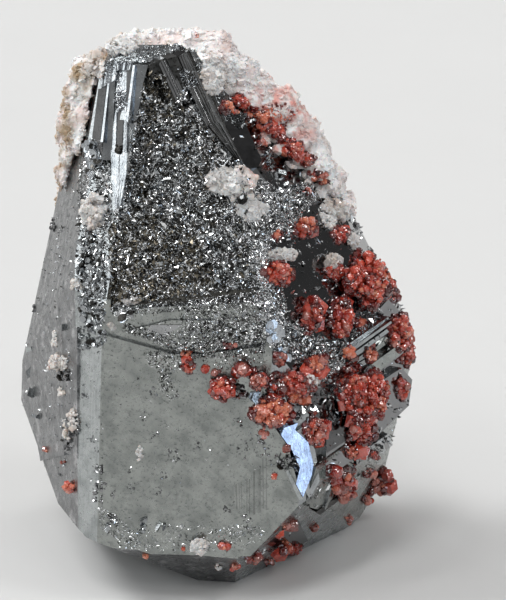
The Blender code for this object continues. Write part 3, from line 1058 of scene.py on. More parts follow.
@dataclass
class GrowthSteps:
    """The bars, ribs and growth steps of one part of the specimen, as one piece.

    Steps with a common bed, a pixel and the way that it faces there, stand over that plane. The others stand
    over the highest point under them.
    """

    name: str
    steps: tuple[Step, ...]
    bed: tuple[Point, Point] | None = None
    depth: float = 0.5
    groove: float = 0.03
    narrow: float = 0.5
    inset: float = 0.9
    widths: Point = (0.4, 1.6)

    def build(self, ground: Ground, chance: np.random.Generator) -> bpy.types.Object:
        """Lays the steps.

        Args:
            ground: What they lie on.
            chance: The source of chance.

        Returns:
            The piece.
        """
        kinds = [kind for step in self.steps for kind in (step.finish, step.between) if kind]
        basket = Basket(self.name, kinds, "hematite")
        for step in self.steps:
            placed = self.place(step, ground)
            if placed is None:
                LOG.warning("%s: a step at %s misses the specimen", self.name, step.outline[0])
                continue
            point, normal, depth = placed
            corners = [self.on_top(pixel, point, normal) for pixel in step.outline]
            if step.lines:
                self.lay_lines(corners, step, normal, depth, basket, chance)
            else:
                self.lay(corners, normal, depth, step.finish, basket)
        return basket.make()

    def place(self, step: Step, ground: Ground) -> tuple[Vector, Vector, float] | None:
        """Finds the plane of a step's top and how deep the step goes.

        Args:
            step: The step.
            ground: What it lies on.

        Returns:
            A point of the plane, its normal and the depth, or None where the step misses the specimen.
        """
        middle = tuple(sum(corner[k] for corner in step.outline) / len(step.outline) for k in (0, 1))
        if self.bed:
            over = towards(*self.bed[1])
            point = self.on_top(middle, ground.meet(*self.bed[0])[0], over) + over * step.lift
            return point, towards(*step.face) if step.face else over, self.depth + step.lift
        core = ground.meet(*middle)
        if core is None:
            return None
        normal = towards(*step.face) if step.face else core[1]
        heights = [core[0].dot(normal)]
        for corner in step.outline:
            hit = ground.meet(*(middle[k] + self.inset * (corner[k] - middle[k]) for k in (0, 1)))
            if hit:
                heights.append(hit[0].dot(normal))
        top = max(heights) + step.lift
        return core[0] + normal * (top - heights[0]), normal, self.depth + top - min(heights)

    @staticmethod
    def on_top(pixel: Point, point: Vector, normal: Vector) -> Vector:
        """Where a pixel's sight line meets a step's top."""
        eye, way = SIGHT.line(*pixel)
        return eye + way * ((point - eye).dot(normal) / way.dot(normal))

    @staticmethod
    def lay(corners: list[Vector], normal: Vector, depth: float, finish: Hematite, basket: Basket) -> None:
        """Puts one solid step in the basket.

        Args:
            corners: The corners of its top.
            normal: The way that its top faces.
            depth: How deep it goes under its top.
            finish: Its finish.
            basket: Where it goes.
        """
        area = sum((a.cross(b) for a, b in zip(corners, corners[1:] + corners[:1])), Vector())
        top = corners if area.dot(normal) > 0 else corners[::-1]
        count = len(top)
        low = [corner - normal * depth for corner in top]
        sides = tuple((i, count + i, count + (i + 1) % count, (i + 1) % count) for i in range(count))
        faces = (tuple(range(count)), tuple(reversed(range(count, 2 * count))), *sides)
        basket.add(np.array(top + low), faces, finish)

    def lay_lines(
        self, corners: list[Vector], step: Step, normal: Vector, depth: float, basket: Basket,
        chance: np.random.Generator,
    ) -> None:
        """Puts a step in the basket as narrow strips, each turned a little about its length.

        Args:
            corners: The four corners of its top.
            step: The step.
            normal: The way that its top faces.
            depth: How deep it goes under its top.
            basket: Where it goes.
            chance: The source of chance.
        """
        head, next_head, next_foot, foot = corners
        widths = chance.uniform(*self.widths, step.lines)
        if step.between:
            widths[1::2] *= self.narrow
        cuts = np.cumsum(widths)
        cuts = [0.0, *(cuts / cuts[-1])]
        for number, (near, far) in enumerate(zip(cuts, cuts[1:])):
            ends = [head.lerp(next_head, near), head.lerp(next_head, far), foot.lerp(next_foot, far),
                    foot.lerp(next_foot, near)]
            width = (ends[1] - ends[0]).length
            turn = math.tan(math.radians(chance.normal(0.0, step.spread))) * width / 2
            drop = self.groove * chance.random()
            tops = [end + normal * (side - drop) for end, side in zip(ends, (-turn, turn, turn, -turn))]
            # every other, narrow line has the darker finish: painted shade between the strips
            kind = step.between if step.between and number % 2 else step.finish
            self.lay(tops, normal, depth, kind, basket)


# Andradite


@dataclass(frozen=True)
class Cluster(Ellipse):
    """Garnets in an ellipse of the photograph: their number, crystal radius, mound and colour."""

    count: int
    radius: float = 0.24
    mound: float = 0.5
    colour: Garnet = RED
    azimuth: float = 0.0


@dataclass
class GarnetField:
    """The andradite of one part of the specimen, as one piece.

    A big cluster has more and finer crystals than its numbers say, and dark ones low in its hollows, which
    are painted shade. Its lumps are a share, a swing and the swing's noise scale.
    """

    name: str
    clusters: tuple[Cluster, ...]
    finer: float = 0.7
    more: float = 2.1
    few: int = 10
    single: float = 0.82
    other_colour: float = 0.3
    hollow: float = 0.13
    ragged: float = 0.45
    many_faced: float = 0.3
    simple: float = 0.4
    beyond: float = 1.5
    lumps: Triple = (0.6, 0.8, 1.1)
    lifts: Point = (0.2, 1.0)
    sizes: Point = (-0.12, 0.38)
    seat: float = 0.3

    def build(self, ground: Ground, chance: np.random.Generator) -> None:
        """Grows the clusters.

        Args:
            ground: What they grow on.
            chance: The source of chance.
        """
        basket = Basket(self.name, Garnet, "andradite")
        for cluster in self.clusters:
            self.grow(cluster, basket, ground, chance)
        basket.make()

    def grow(self, cluster: Cluster, basket: Basket, ground: Ground, chance: np.random.Generator) -> None:
        """Grows one cluster.

        Args:
            cluster: The cluster.
            basket: Where its crystals go.
            ground: What they grow on.
            chance: The source of chance.
        """
        core = ground.meet(cluster.column, cluster.row, cluster.azimuth)
        if core is None:
            LOG.warning("%s: a cluster at %s misses the specimen", self.name, (cluster.column, cluster.row))
            return
        reach = max(cluster.wide, cluster.high) * SIGHT.mm_per_pixel + self.beyond
        single = cluster.count < self.few
        for _ in range(cluster.count if single else round(cluster.count * self.more)):
            far, column, row = cluster.pick(chance, self.ragged)
            hit = ground.meet(column, row, cluster.azimuth)
            if hit is None or (hit[0] - core[0]).length > reach:
                continue
            lumps = self.lumps[0] + self.lumps[1] * noise.noise(hit[0] * self.lumps[2])
            lift = cluster.mound * (1 - min(1.0, far) ** 2) * lumps * chance.uniform(*self.lifts)
            size = cluster.radius * chance.lognormal(*self.sizes) * (self.single if single else self.finer)
            colour = cluster.colour
            if chance.random() < self.other_colour:
                colour = (RED, ORANGE, BROWN)[chance.integers(3)]
            # crystals low in a big cluster get the dark red that paints shade in its hollows
            if lift < self.hollow * cluster.mound and not single:
                colour = DEEP
            simple = size < self.many_faced or chance.random() < self.simple
            habit = Habit.DODECAHEDRON if simple else Habit.TRAPEZOHEDRON
            place = hit[0] + hit[1] * (lift + size * self.seat)
            if place.z >= size:
                basket.add_crystal(habit, place, any_turn(chance), (size,) * 3, colour)


@dataclass
class GarnetCoat:
    """Small garnets over some packed clusters, which so look fine from every side."""

    name: str = "andradite_coat"
    per_square_mm: float = 5.0
    radius: float = 0.19
    uneven: float = 0.3
    shares: Triple = (0.5, 0.25, 0.25)

    def build(self, nodes: list[bpy.types.Object], crystal: Ground, chance: np.random.Generator) -> None:
        """Grows them.

        Args:
            nodes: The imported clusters.
            crystal: The hematite that they lie on.
            chance: The source of chance.
        """
        basket = Basket(self.name, Garnet, "andradite")
        for node in nodes:
            polygons = node.data.polygons
            areas = np.array([polygon.area for polygon in polygons]) / MM ** 2
            count = round(areas.sum() * self.per_square_mm)
            for pick in chance.choice(len(polygons), size=count, p=areas / areas.sum()):
                indices = polygons[int(pick)].vertices
                ring = np.array([node.data.vertices[index].co[:] for index in indices]) / MM
                place = Vector(chance.dirichlet(np.ones(len(ring))) @ ring)
                size = self.radius * chance.lognormal(0.0, self.uneven)
                near, normal, _ = crystal.nearest(place)
                if (place - near).dot(normal) < -size / 2 or place.z < size:
                    continue
                colour = (RED, ORANGE, BROWN)[chance.choice(len(self.shares), p=self.shares)]
                basket.add_crystal(Habit.DODECAHEDRON, place, any_turn(chance), (size,) * 3, colour)
        basket.make()


# Calcite


def remeshed(name: str, data: bpy.types.Mesh, voxel: float) -> bpy.types.Object:
    """An object of a mesh made fine and even.

    Args:
        name: The object's name.
        data: The mesh.
        voxel: The size of its facets, in millimetres.

    Returns:
        The object.
    """
    made = new_object(name, data)
    remesh = made.modifiers.new("fine", "REMESH")
    remesh.mode = "VOXEL"
    remesh.voxel_size = voxel * MM
    apply_modifiers(made)
    return made


@dataclass
class CalciteCrust:
    """The sugary crust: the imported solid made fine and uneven, with grains grown over it.

    It stays as it is where it touches the hematite, and grows uneven away from it, from near to free. The
    scales are those of its lumps, its cells and its fine relief.
    """

    voxel: float = 0.31
    lump: float = 0.55
    grain_relief: float = 0.22
    fine_relief: float = 0.12
    scales: Triple = (0.55, 1.1, 2.6)
    cell_level: float = 0.5
    near: float = 0.25
    free: float = 0.6
    grains: int = 12000
    grain_radius: float = 0.14
    clear: float = 0.2

    def build(self, node: bpy.types.Object, crystal: Ground) -> bpy.types.Object:
        """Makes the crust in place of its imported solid.

        Args:
            node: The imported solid.
            crystal: The hematite that it lies on.

        Returns:
            The crust.
        """
        crust = remeshed("calcite_crust", node.data.copy(), self.voxel)
        normals = [vert.normal.copy() for vert in crust.data.vertices]
        for vert, normal in zip(crust.data.vertices, normals):
            place = vert.co / MM
            share = max(0.0, min(1.0, (crystal.nearest(place)[2] - self.near) / self.free))
            lumps, cells, fine = (place * scale for scale in self.scales)
            rise = self.lump * noise.noise(lumps)
            rise += self.grain_relief * (self.cell_level - noise.voronoi(cells)[0][0])
            rise += self.fine_relief * noise.noise(fine)
            vert.co = (place + normal * rise * share) * MM
        dress(crust, (Calcite.CRUST,))
        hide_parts(node.name)
        return seated(crust)

    def build_grains(self, crust: bpy.types.Object, crystal: Ground, chance: np.random.Generator) -> None:
        """Grows the grains over the crust.

        Args:
            crust: The crust.
            crystal: The hematite that it lies on.
            chance: The source of chance.
        """
        basket = Basket("calcite_grains", (Calcite.CRUST,), "calcite")
        polygons = crust.data.polygons
        areas = np.array([polygon.area for polygon in polygons])
        for pick in chance.choice(len(polygons), size=self.grains, p=areas / areas.sum()):
            place = polygons[int(pick)].center / MM
            if crystal.nearest(place)[2] >= self.clear:
                add_grain(basket, place, self.grain_radius, chance)
        basket.make()


@dataclass(frozen=True)
class GrainPatch(Ellipse):
    """A small patch of calcite grains in the photograph: their number, radius and mound."""

    count: int
    radius: float = 0.17
    mound: float = 0.25
    azimuth: float = 0.0


@dataclass
class CalcitePatches:
    """The calcite scattered over the crystal's faces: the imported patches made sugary, and loose grains.

    The bumps and the cells of a packed patch are a share of its relief and a noise scale.
    """

    patches: tuple[GrainPatch, ...]
    voxel: float = 0.13
    relief: float = 0.62
    bumps: Point = (0.9, 1.15)
    cells: Point = (0.4, 2.2)
    shrink: float = 0.3
    bare: float = -0.25
    bare_scale: float = 1.3

    def build(self, ground: Ground, chance: np.random.Generator) -> None:
        """Grows the loose grains, which leave some ground bare.

        Args:
            ground: What they grow on.
            chance: The source of chance.
        """
        basket = Basket("calcite_specks", (Calcite.PATCH,), "calcite")
        for patch in self.patches:
            for _ in range(patch.count):
                far, column, row = patch.pick(chance)
                hit = ground.meet(column, row, patch.azimuth)
                if hit is None or noise.noise(hit[0] * self.bare_scale) < self.bare:
                    continue
                place = hit[0] + hit[1] * patch.mound * (1 - far * far)
                add_grain(basket, place, patch.radius, chance)
        basket.make()

    def build_packed(self, nodes: dict[str, bpy.types.Object]) -> bpy.types.Object:
        """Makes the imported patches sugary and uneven, in their place.

        Args:
            nodes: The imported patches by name.

        Returns:
            The piece.
        """
        mesh = bmesh.new()
        for node in nodes.values():
            mesh.from_mesh(node.data)
        data = bpy.data.meshes.new("calcite_patches")
        mesh.to_mesh(data)
        mesh.free()
        patches = remeshed("calcite_patches", data, self.voxel)
        normals = [vert.normal.copy() for vert in patches.data.vertices]
        for vert, normal in zip(patches.data.vertices, normals):
            place = vert.co / MM
            bumps = self.bumps[0] * noise.noise(place * self.bumps[1])
            cells = self.cells[0] * noise.voronoi(place * self.cells[1])[0][0]
            rise = self.relief * (bumps - cells - self.shrink)
            vert.co += normal * rise * MM
        dress(patches, (Calcite.PATCH,))
        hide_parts(*nodes)
        return seated(patches)


# The studio


@dataclass(frozen=True)
class SoftPanel:
    """A round light far off: where it stands, its half width and blur in degrees, its strength and tint."""

    azimuth: float
    elevation: float
    half_width: float = 3.2
    blur: float = 0.6
    strength: float = 16.0
    tint: Triple = (1.0, 1.0, 1.0)

    def shine(self, nodes: Nodes, way: Socket) -> Socket:
        """The light that comes from a direction of the world.

        Args:
            nodes: The world's nodes.
            way: The direction.

        Returns:
            The light's colour.
        """
        towards_it = nodes.vector("DOT_PRODUCT", way, towards(self.azimuth, self.elevation)[:])
        edge = math.cos(math.radians(self.half_width + self.blur))
        full = math.cos(math.radians(max(0.0, self.half_width - self.blur)))
        return nodes.vector("SCALE", self.tint, nodes.ramp(towards_it, edge, full, 0.0, self.strength))


@dataclass
class Studio:
    """A pale table under a soft light tent, dark on the right, with broad panels and small sparkles."""

    table_m: float = 6.0
    dark: float = 0.09
    pale: float = 0.42
    top: float = 0.22
    sides: Point = (-0.9, 0.75)
    heights: Point = (0.1, 1.0)
    panels: tuple[SoftPanel, ...] = (
        SoftPanel(-102, 52, 9, 3, 17.5), SoftPanel(-22, 60, 6.5, 2.5, 13.2),
        SoftPanel(60, 50, 5.2, 2.5, 12.7), SoftPanel(-76, 17, 11, 5, 2.7, (0.97, 1.0, 1.0)),
        SoftPanel(47, 5, 8, 4, 3.8, (0.70, 0.83, 1.0)), SoftPanel(-28, 44), SoftPanel(-60, 34),
        SoftPanel(32, 38), SoftPanel(70, 55), SoftPanel(0, 30, 2.8, 0.6, 13.0),
        SoftPanel(10, 75, 3.3, 0.6, 17.0), SoftPanel(96, 30), SoftPanel(120, 58), SoftPanel(-70, 70),
        SoftPanel(-140, 30),
    )

    def build(self) -> None:
        """Makes the table and the light."""
        self.make_table()
        self.make_light()

    def make_table(self) -> None:
        """Makes the table."""
        half = self.table_m / 2
        data = bpy.data.meshes.new("table")
        corners = [(-half, -half, 0), (half, -half, 0), (half, half, 0), (-half, half, 0)]
        data.from_pydata(corners, [], [(0, 1, 2, 3)])
        data.materials.append(FloorFinish().material())
        table = new_object("table", data)

    def make_light(self) -> None:
        """Lights the scene with the tent and its panels."""
        world = bpy.data.worlds.new("light_tent")
        bpy.context.scene.world = world
        world.use_nodes = True
        nodes = Nodes(world.node_tree)
        way = nodes.add("TexCoord").outputs["Generated"]
        parts = nodes.add("SeparateXYZ", Vector=way)
        side = nodes.ramp(parts.outputs["X"], *self.sides, self.pale, self.dark)
        total = nodes.math("ADD", side, nodes.ramp(parts.outputs["Z"], *self.heights, 0.0, self.top))
        glow = nodes.add("CombineColor", Red=total, Green=total, Blue=total).outputs[0]
        for panel in self.panels:
            glow = nodes.vector("ADD", glow, panel.shine(nodes, way))
        nodes.dress(world.node_tree.nodes["Background"], Color=glow, Strength=1.0)
        bpy.context.scene.view_settings.view_transform = "Standard"


# What grows where, in the photograph's pixels


def square(column: float, row: float, half: float) -> Outline:
    """The outline of a square about a pixel."""
    left, right, top, foot = column - half, column + half, row - half, row + half
    return (left, top), (right, top), (right, foot), (left, foot)


def spot(column: float, row: float, half: float, count: int, radius: float = 0.1) -> Zone:
    """A small square zone of dark crystals about a pixel."""
    return Zone(square(column, row, half), count, radius, 0.9, LUMPS, MIRROR)


def each(kind: Callable, rows: Iterable[tuple]) -> tuple:
    """One thing of a kind from each row of its values."""
    return tuple(kind(*row) for row in rows)


DRUSE_OUTLINE = (
    (143, 84), (152, 98), (166, 103), (174, 104), (183, 90), (192, 104), (206, 128), (222, 148),
    (238, 163), (262, 195), (268, 235), (262, 286), (200, 295), (112, 302), (109, 250), (113, 212),
    (122, 205), (127, 175), (133, 134),
)
FRONT_DRUSE = DruseField("druse_front", (
    Zone(DRUSE_OUTLINE, 15800, 0.155, tarnish=0.06),
    Zone(((110, 225), (150, 215), (200, 240), (215, 285), (160, 300), (110, 306)), 3600, 0.165, tarnish=0.75),
    Zone(((143, 84), (152, 98), (178, 106), (170, 118), (136, 130)), 600, 0.16, tarnish=0.5),
    Zone(((147, 74), (156, 70), (166, 76), (174, 104), (150, 98)), 420, 0.12, tarnish=0.4),
    Zone(DRUSE_OUTLINE, 420, 0.25, finish=RIBBED),
), black=0.26)

BAND_DRUSE = DruseField("druse_band", (
    Zone(((190, 300), (262, 290), (285, 345), (262, 348), (230, 336), (200, 345), (178, 320)), 3000, 0.095),
    Zone(((160, 335), (200, 322), (262, 312), (262, 338), (230, 345), (190, 352)), 1800, 0.095),
    Zone(((174, 343), (262, 334), (266, 352), (225, 358), (180, 360)), 1300, 0.1),
    Zone(((124, 322), (150, 330), (178, 342), (176, 352), (150, 340), (122, 331)), 700, 0.09),
    Zone(((108, 300), (140, 304), (200, 298), (262, 292), (262, 306), (200, 310), (136, 314)), 1100, 0.09),
    Zone(((112, 306), (262, 290), (285, 345), (262, 348), (190, 356), (178, 340), (150, 330), (118, 322)),
         700, 0.08),
    Zone(((142, 352), (178, 350), (184, 368), (170, 376), (150, 366)), 320, 0.11),
    Zone(((158, 372), (166, 370), (180, 396), (170, 400), (160, 388)), 190, 0.11),
    Zone(((205, 345), (262, 340), (262, 362), (230, 372), (200, 360)), 300, 0.09),
    Zone(((225, 334), (262, 324), (262, 336), (212, 342)), 120, 0.13, habits=LUMPS),
), black=0.42)

EDGE_DRUSE = DruseField("druse_edges", (
    Zone(((243, 235), (262, 232), (275, 255), (285, 300), (292, 348), (276, 352), (262, 330), (253, 300)),
         3000, 0.14),
    Zone(((250, 205), (285, 186), (310, 182), (322, 194), (300, 216), (292, 232), (275, 246), (262, 235)),
         2200, 0.14),
    Zone(((226, 158), (240, 160), (256, 176), (285, 192), (262, 200), (246, 176)), 420, 0.12),
    Zone(((208, 78), (222, 90), (250, 122), (240, 130), (226, 118)), 420, 0.1, finish=RIBBED),
    Zone(((266, 150), (274, 150), (275, 173), (267, 174)), 90, 0.13, finish=RIBBED),
    Zone(((290, 320), (330, 342), (350, 336), (345, 362), (325, 380), (300, 370), (285, 350)), 1500, 0.13),
    Zone(((350, 318), (378, 306), (384, 316), (352, 340)), 260, 0.13),
    Zone(((110, 520), (262, 528), (262, 540), (240, 552), (120, 550)), 620, 0.09),
    Zone(((98, 505), (116, 515), (150, 548), (125, 545), (100, 528)), 320, 0.1),
    Zone(((226, 524), (264, 526), (264, 536), (230, 536)), 140, 0.09),
    Zone(((80, 165), (96, 150), (108, 190), (112, 208), (106, 300), (104, 326), (82, 300), (78, 220)), 1600,
         0.15),
    Zone(((84, 146), (95, 140), (103, 168), (92, 178)), 260, 0.2, 0.25, PLATES, BRIGHT, face=(-38, 21.5)),
    Zone(((96, 162), (111, 160), (112, 196), (98, 190)), 300, 0.16, 0.6, face=(-38, 21.5)),
    Zone(((76, 240), (104, 240), (106, 345), (80, 350)), 420, 0.2, lean=0.6, habits=LUMPS, finish=RIBBED),
    Zone(((40, 230), (74, 190), (76, 480), (50, 430)), 60, 0.1),
    Zone(((98, 60), (118, 58), (116, 74), (98, 80)), 120, 0.12, finish=BRIGHT),
    Zone(((104, 66), (112, 54), (150, 44), (184, 37), (186, 50), (160, 56), (146, 64)), 1300, 0.08,
         finish=RIBBED),
    Zone(((160, 36), (176, 36), (182, 46), (166, 46)), 140, 0.13, habits=LUMPS),
    Zone(((177, 66), (192, 72), (200, 86), (184, 90)), 260, 0.11, finish=BRIGHT),
    Zone(((186, 44), (192, 44), (212, 84), (204, 84)), 160, 0.11, finish=RIBBED),
    Zone(((114, 92), (124, 90), (127, 104), (121, 113), (114, 106)), 190, 0.15, 0.8, finish=BRIGHT),
    Zone(((116, 146), (122, 146), (121, 152), (116, 152)), 24, 0.19, habits=LUMPS, finish=BLACK),
    Zone(((276, 454), (298, 456), (298, 472), (278, 470)), 60, 0.2, habits=LUMPS, finish=MIRROR),
    Zone(((233, 386), (243, 386), (244, 398), (234, 398)), 30, 0.24, habits=LUMPS, finish=MIRROR),
    Zone(((60, 370), (69, 368), (70, 380), (62, 381)), 26, 0.22, habits=LUMPS, finish=MIRROR),
    Zone(((70, 422), (80, 420), (80, 434), (72, 436)), 26, 0.2, habits=LUMPS, finish=MIRROR),
    Zone(((62, 438), (72, 436), (72, 448), (64, 448)), 20, 0.18, habits=LUMPS, finish=MIRROR),
    Zone(((325, 385), (350, 380), (350, 410), (330, 420)), 60, 0.18, habits=LUMPS, finish=MIRROR),
    Zone(((260, 372), (330, 372), (330, 420), (260, 420)), 160, 0.18, habits=LUMPS, finish=MIRROR),
    Zone(((108, 302), (122, 302), (136, 312), (124, 322), (112, 314)), 90, 0.17, habits=LUMPS),
    Zone(((308, 246), (328, 248), (326, 266), (306, 262)), 16, 0.13, finish=BRIGHT),
    *each(spot, (
        (49, 218, 4, 34, 0.15), (52, 227, 4, 30, 0.15), (34, 285, 4, 34, 0.15), (31, 308, 4, 30, 0.15),
        (353, 208, 4, 30, 0.16), (358, 222, 4, 24, 0.15),
    )),
))

# A row of spots holds the column, row, half width, number and radius

DARK_PITS = DruseField("dark_pits", each(spot, (
    (174, 455, 7, 26), (163, 475, 4, 12), (158, 490, 4, 12), (131, 487, 4, 8), (197, 445, 4, 10),
    (155, 435, 4, 9), (240, 453, 6, 12), (144, 416, 5, 9), (129, 470, 4, 8), (238, 423, 5, 16),
    (228, 509, 4, 16), (246, 518, 5, 16), (113, 519, 4, 14), (155, 391, 5, 12), (113, 493, 3, 9),
    (100, 470, 4, 22, 0.13), (101, 485, 5, 26, 0.13), (98, 497, 5, 22, 0.13), (84, 395, 3, 8),
    (92, 440, 4, 9), (262, 440, 4, 14), (266, 452, 4, 10),
)), black=0.0)

PATCH_SPECKS = DruseField("patch_specks", (
    Zone(((205, 168), (240, 166), (268, 200), (266, 224), (240, 222), (212, 196)), 420, 0.13),
    Zone(((236, 196), (246, 194), (252, 206), (238, 210)), 120, 0.16, habits=LUMPS, finish=MIRROR),
    Zone(((82, 196), (106, 192), (108, 228), (84, 230)), 160, 0.13),
    Zone(((318, 198), (340, 198), (342, 230), (320, 232)), 70, 0.13),
    Zone(((266, 246), (296, 246), (296, 266), (266, 264)), 60, 0.12),
), black=0.5)

FACE_SPECKS = DruseField("face_specks", (
    Zone(((106, 340), (262, 350), (300, 490), (200, 550), (106, 520)), 170, 0.07, 0.9, finish=SLAB),
    Zone(((106, 360), (262, 400), (290, 480), (200, 545), (106, 510)), 60, 0.1, 0.9, finish=SLAB),
    Zone(((240, 430), (275, 430), (275, 470), (250, 470)), 60, 0.09, 0.8, LUMPS, SLAB),
    Zone(((78, 340), (102, 330), (104, 500), (92, 500)), 90, 0.09, 0.9, finish=SLAB),
    Zone(((35, 260), (76, 210), (76, 500), (50, 440)), 190, 0.1, 0.5, finish=BRIGHT),
    Zone(((285, 225), (330, 215), (360, 260), (330, 300), (290, 290)), 26, 0.07, 0.5, finish=RIBBED),
    Zone(((310, 420), (350, 440), (345, 520), (310, 520)), 50, 0.07, 0.5, finish=SLAB),
), black=0.0)

SIDE_DRUSE = DruseField("druse_sides", (
    Zone(((150, 120), (380, 120), (420, 540), (110, 540)), 1500, 0.2, azimuth=90.0),
    Zone(((110, 320), (400, 320), (400, 560), (110, 560)), 1500, 0.22, azimuth=180.0),
    Zone(((120, 200), (400, 200), (400, 560), (110, 560)), 220, 0.12, azimuth=-100.0),
))

BARS = GrowthSteps("bright_bars", (
    # the white blade at the bottom and the middle strips
    Step(((110.5, 150), (127, 150), (126, 176), (111.5, 176)), BRIGHT, 0.60, None, 7, 3.5),
    Step(((111.5, 175), (126, 175), (120, 208), (115, 208)), BRIGHT, 0.61, None, 6, 4.5),
    Step(((116, 66), (126, 66), (126, 112), (116, 112)), BRIGHT, 0.9, None, 5, 9.0),
    Step(((113.6, 110), (116.6, 110), (115.6, 152), (112, 152)), BRIGHT, 0.72),
    Step(((124.2, 111), (127.6, 114), (126.4, 152), (122.8, 152)), BRIGHT, 0.9, None, 2, 5.0),
    Step(((118, 112), (123.4, 112), (122, 152), (116.4, 152)), SLAB, 0.95, (-14, 18)),
    # planks on the left
    Step(((109.4, 82), (115, 80), (112, 160), (101.5, 160)), RIBBED, 1.2, (-14, 18), 3, 3.0),
    Step(((107.6, 83), (109.3, 83), (102.8, 142), (100.5, 142)), BRIGHT, 1.3),
    Step(((98.4, 89), (106.2, 87), (99.6, 143), (92, 138)), SLAB, 1.28, (-18, 20), 3, 5.0),
    Step(((99.6, 140), (102.5, 140), (101.8, 161), (90, 161), (92, 140)), LEFT, 1.1, (-20, 20)),
    # the plank on the right, its bright edge and the ribs below it
    Step(((135, 64), (148, 65), (143, 84), (139, 108), (135, 131), (126.5, 122), (131, 88)), RIBBED, 1.42,
         (-14, 18)),
    Step(((132.8, 65), (135.0, 65), (127.8, 122.5), (125.6, 120)), BRIGHT, 1.62),
    Step(((127.0, 64), (132.0, 64), (129.0, 100), (126.2, 112)), SLAB, 1.3, (-16, 20)),
    Step(((127.4, 124), (134, 129), (129, 178), (125.8, 178)), RIBBED, 0.7, (-26, 20), 5, 12.0),
    # the fringe at the top
    Step(((103, 63), (117, 61), (115, 80), (101, 88)), BRIGHT, 1.3, None, 11, 18.0),
    Step(((117, 61), (134, 61), (131, 70), (117, 70)), BRIGHT, 1.5, None, 11, 18.0),
), ((112.0, 130.0), (-38.0, 21.5)))

NOTCH_BARS = GrowthSteps("notch_bars", (
    # near-black steps in the notch: painted shadow under the cap
    Step(((148, 66), (160, 60), (166, 82), (158, 78), (152, 82)), BLACK, 0.1, (20, 5)),
    Step(((167, 59), (177, 56), (195, 98), (184, 101)), BLACK, 0.15, (20, 5)),
    Step(((158, 62), (168, 58.5), (186, 98), (177, 103)), SLAB, 0.5, (-6, 15), 9, 5.0, NIGHT),
    Step(((179, 57), (184, 53), (195, 80), (190, 84)), SLAB, 0.3, (4, 14), 5, 6.0, BLACK),
))

SLAB_RIBS = GrowthSteps("slab_ribs", (
    Step(((208, 85), (213, 86), (243, 118), (262, 160), (257, 168), (244, 168)), NIGHT, 0.42),
    Step(((184, 60), (190, 47), (203, 72), (190, 74)), SLAB, 0.46, (24, 26), 11, 7.0, BLACK),
    Step(((182, 72), (202, 70), (225.5, 121), (207, 126)), SLAB, 0.5, (27, 29), 21, 6.0, BLACK),
    Step(((206.5, 125), (225.5, 120.5), (247, 168), (239, 162)), SLAB, 0.5, (27, 29), 17, 6.0, BLACK),
    Step(((203, 70), (205, 72), (228, 121), (226, 121)), RIBBED, 0.56, (24, 28), 2, 6.0),
), ((214.0, 125.0), (30.0, 29.5)), groove=0.12)

RIGHT_STEPS = GrowthSteps("right_steps", (
    # thin strips at the right edge
    Step(((334, 347), (362, 373), (399, 351), (385, 314)), SLAB, 0.02, (44, 6), 15, 8.0, BLACK),
    Step(((340, 350), (388, 317), (389.5, 319.5), (342, 353)), RIBBED, 0.16, (40, 2)),
    Step(((345, 353), (391, 321), (392, 323), (347, 355.5)), RIBBED, 0.26, (36, 0)),
    Step(((351, 355), (387, 329), (389, 332), (353, 358.5)), RIBBED, 0.22, (32, -1)),
    Step(((358, 361), (388, 338), (390, 341), (361, 364)), FRONT, 0.2, (30, 0)),
    Step(((368, 367), (397, 346), (402, 353), (377, 373)), FRONT, 0.22, (22, 0)),
    # the light facet at the lower right and its strips
    Step(((305, 506), (316, 467), (346, 445), (354, 462), (338, 494), (319, 510)), FRONT, 0.02, (57, -17)),
    Step(((356, 457), (388, 434), (393, 445), (358, 473)), RIBBED, 0.0, None, 9, 2.0, NIGHT),
    # the black hollow, a painted dark reflection, and the pale blue facet
    Step(((312, 388), (349, 388), (349, 399), (320, 428), (312, 436)), NIGHT, 0.015, (54, 2)),
    Step(((326, 437), (347, 409), (356, 412), (352, 437), (327, 453)), NIGHT, 0.015, (54, 2)),
    # the pale blue facet: its blue is partly painted reflection
    Step(((281, 435), (284, 428), (298, 423), (295, 430), (308, 442), (313.5, 464), (311.6, 476), (303, 497),
          (296, 484), (300, 468), (292, 450)), COOL, 0.05, (24, 12)),
    Step(((302, 405), (307, 402), (315, 405), (319, 412), (311, 410), (303, 414)), BLADE, 0.3, (23.6, 37.7)),
    # a near-black gap: painted shade
    Step(((316, 512), (320, 515), (341, 499), (339, 496)), BLACK, 0.04, (57, -17)),
), depth=0.3)

LOW_STEPS = GrowthSteps("low_steps", (
    Step(((266, 545), (285, 529), (299, 521), (308, 541), (287, 551)), NIGHT, 0.012, (52, -38)),
    Step(((62, 331), (77, 327), (77, 459), (63, 451)), LEFT, 0.015, (-62.5, 1)),
), depth=0.1)

BAND_STEPS = GrowthSteps("band_steps", (
    Step(((151, 325), (182, 325), (166, 336), (146, 331)), SLAB, 0.012, (-3, -3)),
    Step(((261, 458), (269, 458), (269, 511), (262, 508)), FRONT, 0.012, (-3, 1), 5, 2.0, GROOVE),
    Step(((231, 487), (243, 481), (244, 511), (232, 508)), FRONT, 0.012, (-3, 1), 9, 2.6, GROOVE),
    Step(((244, 477), (251, 480), (251, 515), (244, 512)), FRONT, 0.012, (-3, 1), 5, 2.6, GROOVE),
    Step(((251, 473), (262, 468), (262, 512), (251, 516)), FRONT, 0.012, (-3, 1), 7, 2.6, GROOVE),
    Step(((285, 470), (288, 470), (303, 499), (299, 500)), BEVEL, 0.03, (6, 0), 3, 4.0),
), depth=0.1, groove=0.006)

STEPS = (BARS, NOTCH_BARS, SLAB_RIBS, RIGHT_STEPS, LOW_STEPS, BAND_STEPS)

